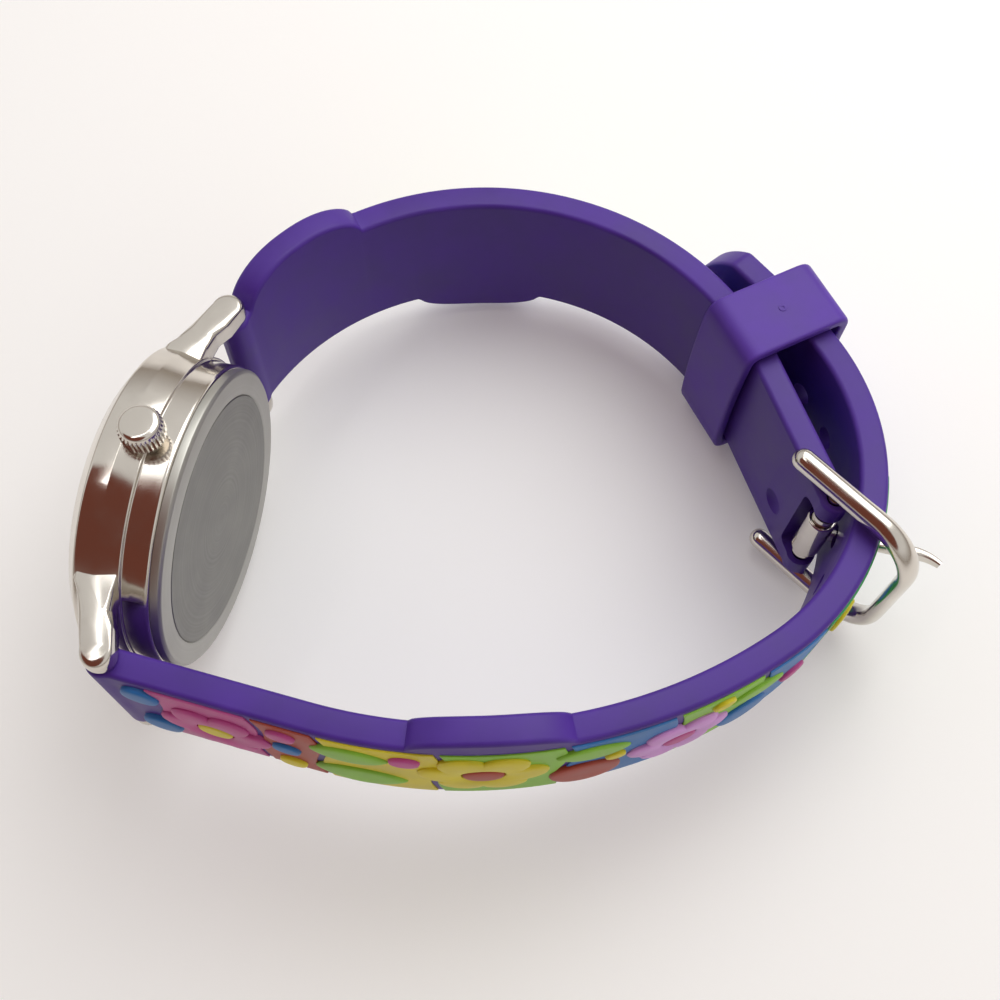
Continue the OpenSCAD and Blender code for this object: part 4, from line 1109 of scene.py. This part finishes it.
class WATCH_OT_buckle_strap(bpy.types.Operator):
    """Strap at twelve o'clock: one bend with two lobes, and a notched end at the buckle's bar"""

    bl_idname = "watch.buckle_strap"
    bl_label = "Buckle strap"

    def execute(self, context):
        z = strap_sizes()
        line = buckle_line()
        half_w = z.width / 2
        half_t = z.thick / 2
        radius = line.runs[0].radius
        end = line.total

        def thick(s):
            if s < end / 2:
                return eye_half(s, z.barrel, half_t)
            return eye_half(end - s, z.bar_eye, half_t)

        def high(s):
            return half_w + lobe_rise(s, radius * z.lug_lobe_at, z.lug_lobe_len, z.lug_lobe_h)

        def low(s):
            return -half_w - lobe_rise(s, radius * z.far_lobe_at, z.side_lobe_len, z.side_lobe_h)

        make_piece(
            "strap_buckle_side", strap_shape(line, -z.barrel, end + z.bar_eye, thick, low, high, z.edge),
            strap_pvc(), "buckle_strap", ("buckle_strap",),
            cutters=[self.notch(line, z), self.dimple(line, z), bar_bore(TWELVE, z), bar_bore(BAR, z)],
            edge=0.18 * MM,
        )
        return {"FINISHED"}

    @staticmethod
    def notch(line, z):
        """Cutter for the open notch that shows the buckle's bar, with rounded inner corners."""
        deep, half, through = z.notch_deep, z.notch_half, 4 * MM
        flat = filleted([(-deep, -half), (-deep, half), (deep, half), (deep, -half)], z.notch_corner, 6)
        shape = Shape()
        shape.rings([
            [line.place(line.total + a, b, out) for a, b in flat] for out in (-through, through)
        ])
        return shape

    @staticmethod
    def dimple(line, z):
        """Cutter for the shallow round dimple on the strap's inner face, near the notch."""
        rows = 12
        rings = []
        for i in range(rows + 1):
            lean = math.pi * (0.02 + 0.96 * i / rows)
            r = z.dimple_r * math.sin(lean)
            rings.append([
                line.place(
                    line.total - z.dimple_back + r * math.cos(angle),
                    z.dimple_across + r * math.sin(angle),
                    z.dimple_out + z.dimple_r * math.cos(lean),
                )
                for angle in circle(32)
            ])
        shape = Shape()
        shape.rings(rings)
        return shape


class WATCH_OT_tail_strap(bpy.types.Operator):
    """Strap at six o'clock: long tail with a lobe, six holes and a round tip"""

    bl_idname = "watch.tail_strap"
    bl_label = "Tail strap"

    def execute(self, context):
        z = strap_sizes()
        line = tail_line()
        half_w = z.width / 2
        half_t = z.thick / 2
        wide = line.runs[1]
        lobe_s = z.tail_start + wide.radius * (z.tail_lobe_at - wide.first)
        end = line.total

        def thick(s):
            if s < end / 2:
                return eye_half(s, z.barrel, half_t)
            left = min(1, (end - s) / z.tip_edge)
            return half_t * (0.55 + 0.45 * math.sqrt(max(0, 1 - (1 - left) ** 2)))

        def half(s):
            past = s - (end - z.tip_round)
            if past <= 0:
                return half_w
            return min(half_w, math.sqrt(max((0.4 * MM) ** 2, z.tip_round ** 2 - past ** 2)))

        def high(s):
            return half(s) + lobe_rise(s, lobe_s, z.side_lobe_len, z.side_lobe_h)

        def low(s):
            return -half(s)

        make_piece(
            "strap_tail_side", strap_shape(line, -z.barrel, end, thick, low, high, z.edge),
            strap_pvc(), "tail_strap", ("tail_strap",),
            cutters=hole_shapes(line, z) + [bar_bore(SIX, z)], edge=0.15 * MM,
        )
        return {"FINISHED"}


class WATCH_OT_inlays(bpy.types.Operator):
    """Raised colours on the outer faces of both straps"""

    bl_idname = "watch.inlays"
    bl_label = "Raised colours"

    def execute(self, context):
        self.add_colours(tail_line(), "tail_strap", TAIL_MOTIFS)
        self.add_colours(buckle_line(), "buckle_strap", BUCKLE_MOTIFS)
        return {"FINISHED"}

    @staticmethod
    def add_colours(line, body, motifs):
        """One piece for each colour of a strap; the green field is holed with the strap."""
        z = strap_sizes()
        face = z.thick / 2
        for node, lists in motifs.items():
            word = node.rsplit("_", 1)[1]
            shape = Shape()
            for start, end in lists.get("fields", ()):
                add_field(shape, line, face, start * MM, end * MM, z)
            for kind, (outline, share, high, eye) in KINDS.items():
                for along, across, size in lists.get(kind, ()):
                    add_motif(shape, line, face, (along, across, size * share), outline, high * MM, eye)
            make_piece(
                "colour_" + node, shape, moulded_pvc("Moulded soft PVC, " + word, getattr(colours(), word)),
                body,
                (node,) if node in frame["nodes"] else (),
                cutters=hole_shapes(line, z) if word == "green" else (),
            )


class WATCH_OT_keeper(bpy.types.Operator):
    """Loose keeper round both straps, with a gate mark on its top"""

    bl_idname = "watch.keeper"
    bl_label = "Keeper"

    def execute(self, context):
        z = strap_sizes()
        wall = z.keeper_wall / 2
        low = z.keeper_in - wall
        high = z.keeper_in + z.keeper_room + wall
        half = z.keeper_half - wall
        loop = self.spread(filleted(oblong(low, high, -half, half), z.keeper_corner, 8), 1.0 * MM)
        section = filleted(oblong(-wall, wall, -z.keeper_w / 2, z.keeper_w / 2), z.keeper_edge, 4)
        along = polar(1, z.keeper_at)
        across = polar(1, z.keeper_at + math.pi / 2)
        count = len(loop)
        rings = []
        for i, point in enumerate(loop):
            way = (loop[(i + 1) % count] - loop[i - 1]).normalized()
            out = Vector((way.y, -way.x))
            bow = 0.0
            if point.x < low + 0.01 * MM:
                bow = z.keeper_bow * math.cos(point.y / half * math.pi / 2)
            ring = []
            for t, w in section:
                spot = point + out * t
                r = spot.x - bow
                # Each point keeps its distance from the bend's centre, so the keeper follows the bend
                flat = BEND + along * math.sqrt(r * r - w * w) + across * w
                ring.append(Vector((flat.x, flat.y, spot.y)))
            rings.append(ring)
        shape = Shape()
        shape.rings(rings, closed=True)
        pvc = moulded_pvc("Moulded soft PVC, keeper purple", colours().keeper)
        make_piece("keeper_loop", shape, pvc, "keeper", ("keeper",), 50)
        self.gate_mark(z, along, pvc)
        return {"FINISHED"}

    @staticmethod
    def spread(loop, step):
        """The same outline with points along its straight sides."""
        out = []
        for i, point in enumerate(loop):
            after = loop[(i + 1) % len(loop)]
            parts = max(1, int((after - point).length / step))
            out.extend(point + (after - point) * k / parts for k in range(parts))
        return [p for i, p in enumerate(out) if (p - out[i - 1]).length > 1e-7]

    @staticmethod
    def gate_mark(z, along, pvc):
        """The nub left by the mould's gate, a low ring on the top face."""
        spot = BEND + along * (z.keeper_in + z.keeper_room * 0.5)
        base = Vector((spot.x, spot.y, z.keeper_half))
        inner, outer, foot = 0.16 * MM, 0.42 * MM, -0.05 * MM
        profile = filleted([
            (inner, foot), (outer, foot), (outer, 0.07 * MM), (inner, 0.05 * MM),
        ], 0.05 * MM, 3)
        shape = Shape()
        shape.turned(profile, lambda r, angle, h: base + polar(r, angle).to_3d() + Vector((0, 0, h)), 32)
        make_piece("keeper_gate_mark", shape, pvc, "keeper")


# Rounded ends of the buckle's wire: place past the end and radius, as shares of the wire's radius
WIRE_END = ((-1.0, 0.05), (-0.96, 0.3), (-0.84, 0.55), (-0.6, 0.8), (-0.3, 0.95))


class WATCH_OT_buckle(bpy.types.Operator):
    """Wire buckle, its bar and its tang"""

    bl_idname = "watch.buckle"
    bl_label = "Buckle and tang"

    def execute(self, context):
        z = strap_sizes()
        self.frame_piece(z)
        self.tang_piece(z)
        dress(plating(), "buckle_bar")
        return {"FINISHED"}

    @staticmethod
    def frame_piece(z):
        """The bent wire: an arm, its bend, the front bar and the same again, pressed flatter in front."""
        bend = z.front_bend
        straight = z.reach - bend
        inner = z.arm_z - bend
        arm_steps, bend_steps, bar_steps = 14, 16, 4
        line = [
            Vector((-z.arm_back + (straight + z.arm_back) * k / arm_steps, z.arm_z))
            for k in range(arm_steps + 1)
        ]
        line += [
            Vector((straight, inner)) + polar(bend, math.pi / 2 * (1 - k / bend_steps))
            for k in range(1, bend_steps + 1)
        ]
        line += [Vector((z.reach, inner * (1 - k / bar_steps))) for k in range(1, bar_steps + 1)]
        line += [Vector((p.x, -p.y)) for p in reversed(line[:-1])]

        def end_stops(point, ahead):
            return [
                (point + Vector((drop * z.wire_r, 0)), Vector((ahead, 0)), share) for drop, share in WIRE_END
            ]

        stops = end_stops(line[0], 1)
        last = len(line) - 1
        for i, point in enumerate(line):
            ahead = line[min(i + 1, last)] - line[max(i - 1, 0)]
            stops.append((point, ahead.normalized(), 1.0))
        stops += reversed(end_stops(line[-1], -1))
        way = polar(1, z.buckle_deg)
        side = Vector((-way.y, way.x, 0))
        rings = []
        for point, ahead, share in stops:
            over = Vector((-ahead.y, ahead.x))
            flatter = min(1, max(0, (point.x - straight) / bend))
            thin = z.wire_r * share * (1 - 0.25 * flatter)
            wide = z.wire_r * share * (1 + 0.15 * flatter)
            ring = []
            for angle in circle(28):
                flat = point + over * thin * math.cos(angle)
                spot = BAR + way * flat.x
                ring.append(Vector((spot.x, spot.y, flat.y)) + side * wide * math.sin(angle))
            rings.append(ring)
        shape = Shape()
        shape.rings(rings)
        make_piece("buckle_wire", shape, plating(), "buckle", ("buckle_frame",), 60)

    @staticmethod
    def tang_piece(z):
        """The prong, straight and then bent to a slimmer tip, and its rolled eye round the bar."""
        way = polar(1, z.tang_deg + z.tang_lift)
        side = Vector((-way.y, way.x))
        steps, slim = 12, 0.4
        root = z.tang_t
        line = [
            (Vector((root + (z.tang_len - root) * k / steps, 0)), 0.0, 1.0) for k in range(steps + 1)
        ]
        for k in range(1, steps + 1):
            angle = z.tang_bend * k / steps
            ahead = z.tang_len + z.tang_tip_r * math.sin(angle)
            drop = z.tang_tip_r * (math.cos(angle) - 1)
            line.append((Vector((ahead, drop)), -angle, 1 - slim * k / steps))
        half_t, half_w = z.tang_t / 2, z.tang_w / 2
        section = filleted(oblong(-half_t, half_t, -half_w, half_w), z.tang_edge, 5)
        rings = []
        for point, lean, taper in line:
            over = Vector((-math.sin(lean), math.cos(lean)))
            ring = []
            for a, b in section:
                spot = point + over * a * taper
                row = BAR + way * spot.x + side * spot.y
                ring.append(Vector((row.x, row.y, b * taper)))
            rings.append(ring)
        shape = Shape()
        shape.rings(rings)
        half = z.tang_eye_w / 2
        eye = filleted(oblong(z.tang_bore_r, z.tang_eye_r, -half, half), 0.22 * MM)
        base = BAR.to_3d()
        shape.turned(eye, lambda r, angle, h: base + polar(r, angle).to_3d() + Vector((0, 0, h)), 64)
        make_piece("buckle_tang", shape, plating(), "tang", ("tang",), 50)


class WATCH_OT_stage(bpy.types.Operator):
    """Pale floor, soft light and the camera"""

    bl_idname = "watch.stage"
    bl_label = "Floor, light and camera"

    def execute(self, context):
        scene = context.scene
        scene.view_settings.view_transform = "Standard"
        self.floor(CAD_BOX[0][2])
        self.world(scene)
        self.lamp("Window", (0.12, 0.2, 0.26), (0.3, 0.3), 0.72)
        self.lamp("Glint", (-0.14, 0.07, 0.62), (0.34, 0.05), 0.18)
        self.camera(scene)
        return {"FINISHED"}

    @staticmethod
    def floor(level):
        """A wide cloth at the watch's lowest point, lifted a little for the eye, mirrors and glass."""
        bpy.ops.mesh.primitive_plane_add(size=20, location=(0, 0, level))
        floor = bpy.context.object
        floor.name = "floor"
        material, tree, shader, spots = blank("Pale cotton cloth")
        # Thread spacing of 0.6 mm
        weave = add(tree, "ShaderNodeTexNoise", {
            "Vector": spots, "Scale": 1 / (0.6 * MM), "Detail": 3.0,
        })
        bump = add(tree, "ShaderNodeBump", {
            "Height": weave.outputs["Fac"], "Strength": 0.1, "Distance": 0.1 * MM,
        })
        seen = add(tree, "ShaderNodeLightPath").outputs
        direct = add(tree, "ShaderNodeMath", {
            0: seen["Is Camera Ray"], 1: seen["Is Glossy Ray"],
        }, operation="MAXIMUM")
        rays = add(tree, "ShaderNodeMath", {
            0: direct.outputs["Value"], 1: seen["Is Transmission Ray"],
        }, operation="MAXIMUM")
        lift = add(tree, "ShaderNodeMath", {0: rays.outputs["Value"], 1: 0.12}, operation="MULTIPLY")
        feed(tree, shader, {
            "Base Color": shade(colours().floor), "Roughness": 0.9, "Normal": bump.outputs["Normal"],
            "Emission Color": shade(colours().floor), "Emission Strength": lift.outputs["Value"],
        })
        floor.data.materials.append(material)

    @staticmethod
    def world(scene):
        """A pale room, darker towards the floor, with one brown patch that the polished case mirrors."""
        world = bpy.data.worlds.new("Room")
        scene.world = world
        world.use_nodes = True
        tree = world.node_tree
        tree.nodes.clear()
        spots = add(tree, "ShaderNodeTexCoord").outputs["Generated"]
        parts = add(tree, "ShaderNodeSeparateXYZ", {"Vector": spots})
        sky = add(tree, "ShaderNodeValToRGB", {"Fac": parts.outputs["Z"]}, (
            (0.0, shade(linear("#A3978B"))), (0.45, shade(linear("#F4F2F0"))),
        ))
        towards = add(tree, "ShaderNodeVectorMath", {
            0: spots, 1: Vector((-0.22, -0.58, 0.78)).normalized(),
        }, operation="DOT_PRODUCT")
        patch = add(tree, "ShaderNodeMapRange", {
            "Value": towards.outputs["Value"], "From Min": 0.76, "From Max": 0.8,
        }, interpolation_type="SMOOTHSTEP")
        room = add(tree, "ShaderNodeMix", {
            0: patch.outputs["Result"], 6: sky.outputs["Color"], 7: shade(linear("#7C483B")),
        }, data_type="RGBA")
        light = add(tree, "ShaderNodeBackground", {"Color": room.outputs[2], "Strength": 0.84})
        add(tree, "ShaderNodeOutputWorld", {"Surface": light.outputs[0]})

    @staticmethod
    def lamp(name, place, size, power):
        """A soft lamp that faces the middle of the watch."""
        light = bpy.data.lights.new(name, "AREA")
        light.energy = power
        light.shape = "RECTANGLE"
        light.size, light.size_y = size
        lamp = bpy.data.objects.new(name, light)
        lamp.location = place
        aim = Vector((0.03, 0.01, 0)) - Vector(place)
        lamp.rotation_euler = aim.to_track_quat("-Z", "Y").to_euler()
        bpy.context.scene.collection.objects.link(lamp)

    @staticmethod
    def camera(scene):
        """The photograph's camera, as it was fitted in the watch's own axes."""
        data = bpy.data.cameras.new("Camera")
        data.sensor_width = 36
        data.lens = 43.35
        data.clip_start = 0.001
        camera = bpy.data.objects.new("Camera", data)
        tilt = (
            Matrix.Rotation(math.radians(9.940), 4, "Z")
            @ Matrix.Rotation(math.radians(24.663), 4, "X")
            @ Matrix.Rotation(math.radians(3.103), 4, "Z")
        )
        place = Matrix.Translation(Vector((35.436, -41.737, 110.947)) * MM)
        camera.matrix_world = LYING @ place @ tilt
        scene.collection.objects.link(camera)
        scene.camera = camera


class WATCH_PT_panel(bpy.types.Panel):
    """Buttons for the pieces of the watch"""

    bl_idname = "WATCH_PT_panel"
    bl_label = "Soft Strap Watch"
    bl_space_type = "VIEW_3D"
    bl_region_type = "UI"
    bl_category = "Watch"

    def draw(self, context):
        for operator in OPERATORS:
            self.layout.operator(operator.bl_idname)


OPERATORS = (
    WATCH_OT_case, WATCH_OT_crown, WATCH_OT_dial, WATCH_OT_movement, WATCH_OT_buckle_strap,
    WATCH_OT_tail_strap, WATCH_OT_inlays, WATCH_OT_keeper, WATCH_OT_buckle, WATCH_OT_stage,
)
GROUPS = {"watch_case": WatchCaseSizes, "watch_strap": WatchStrapSizes, "watch_colours": WatchColours}
CLASSES = tuple(GROUPS.values()) + OPERATORS + (WATCH_PT_panel,)


def register():
    for item in CLASSES:
        bpy.utils.register_class(item)
    for name, group in GROUPS.items():
        setattr(bpy.types.Scene, name, PointerProperty(type=group))


def unregister():
    for name in GROUPS:
        delattr(bpy.types.Scene, name)
    for item in reversed(CLASSES):
        bpy.utils.unregister_class(item)


def main():
    register()
    bpy.ops.watch.case()
    bpy.ops.watch.crown()
    bpy.ops.watch.dial()
    bpy.ops.watch.movement()
    bpy.ops.watch.buckle_strap()
    bpy.ops.watch.tail_strap()
    bpy.ops.watch.inlays()
    bpy.ops.watch.keeper()
    bpy.ops.watch.buckle()
    bpy.ops.watch.stage()


if __name__ == "__main__":
    main()
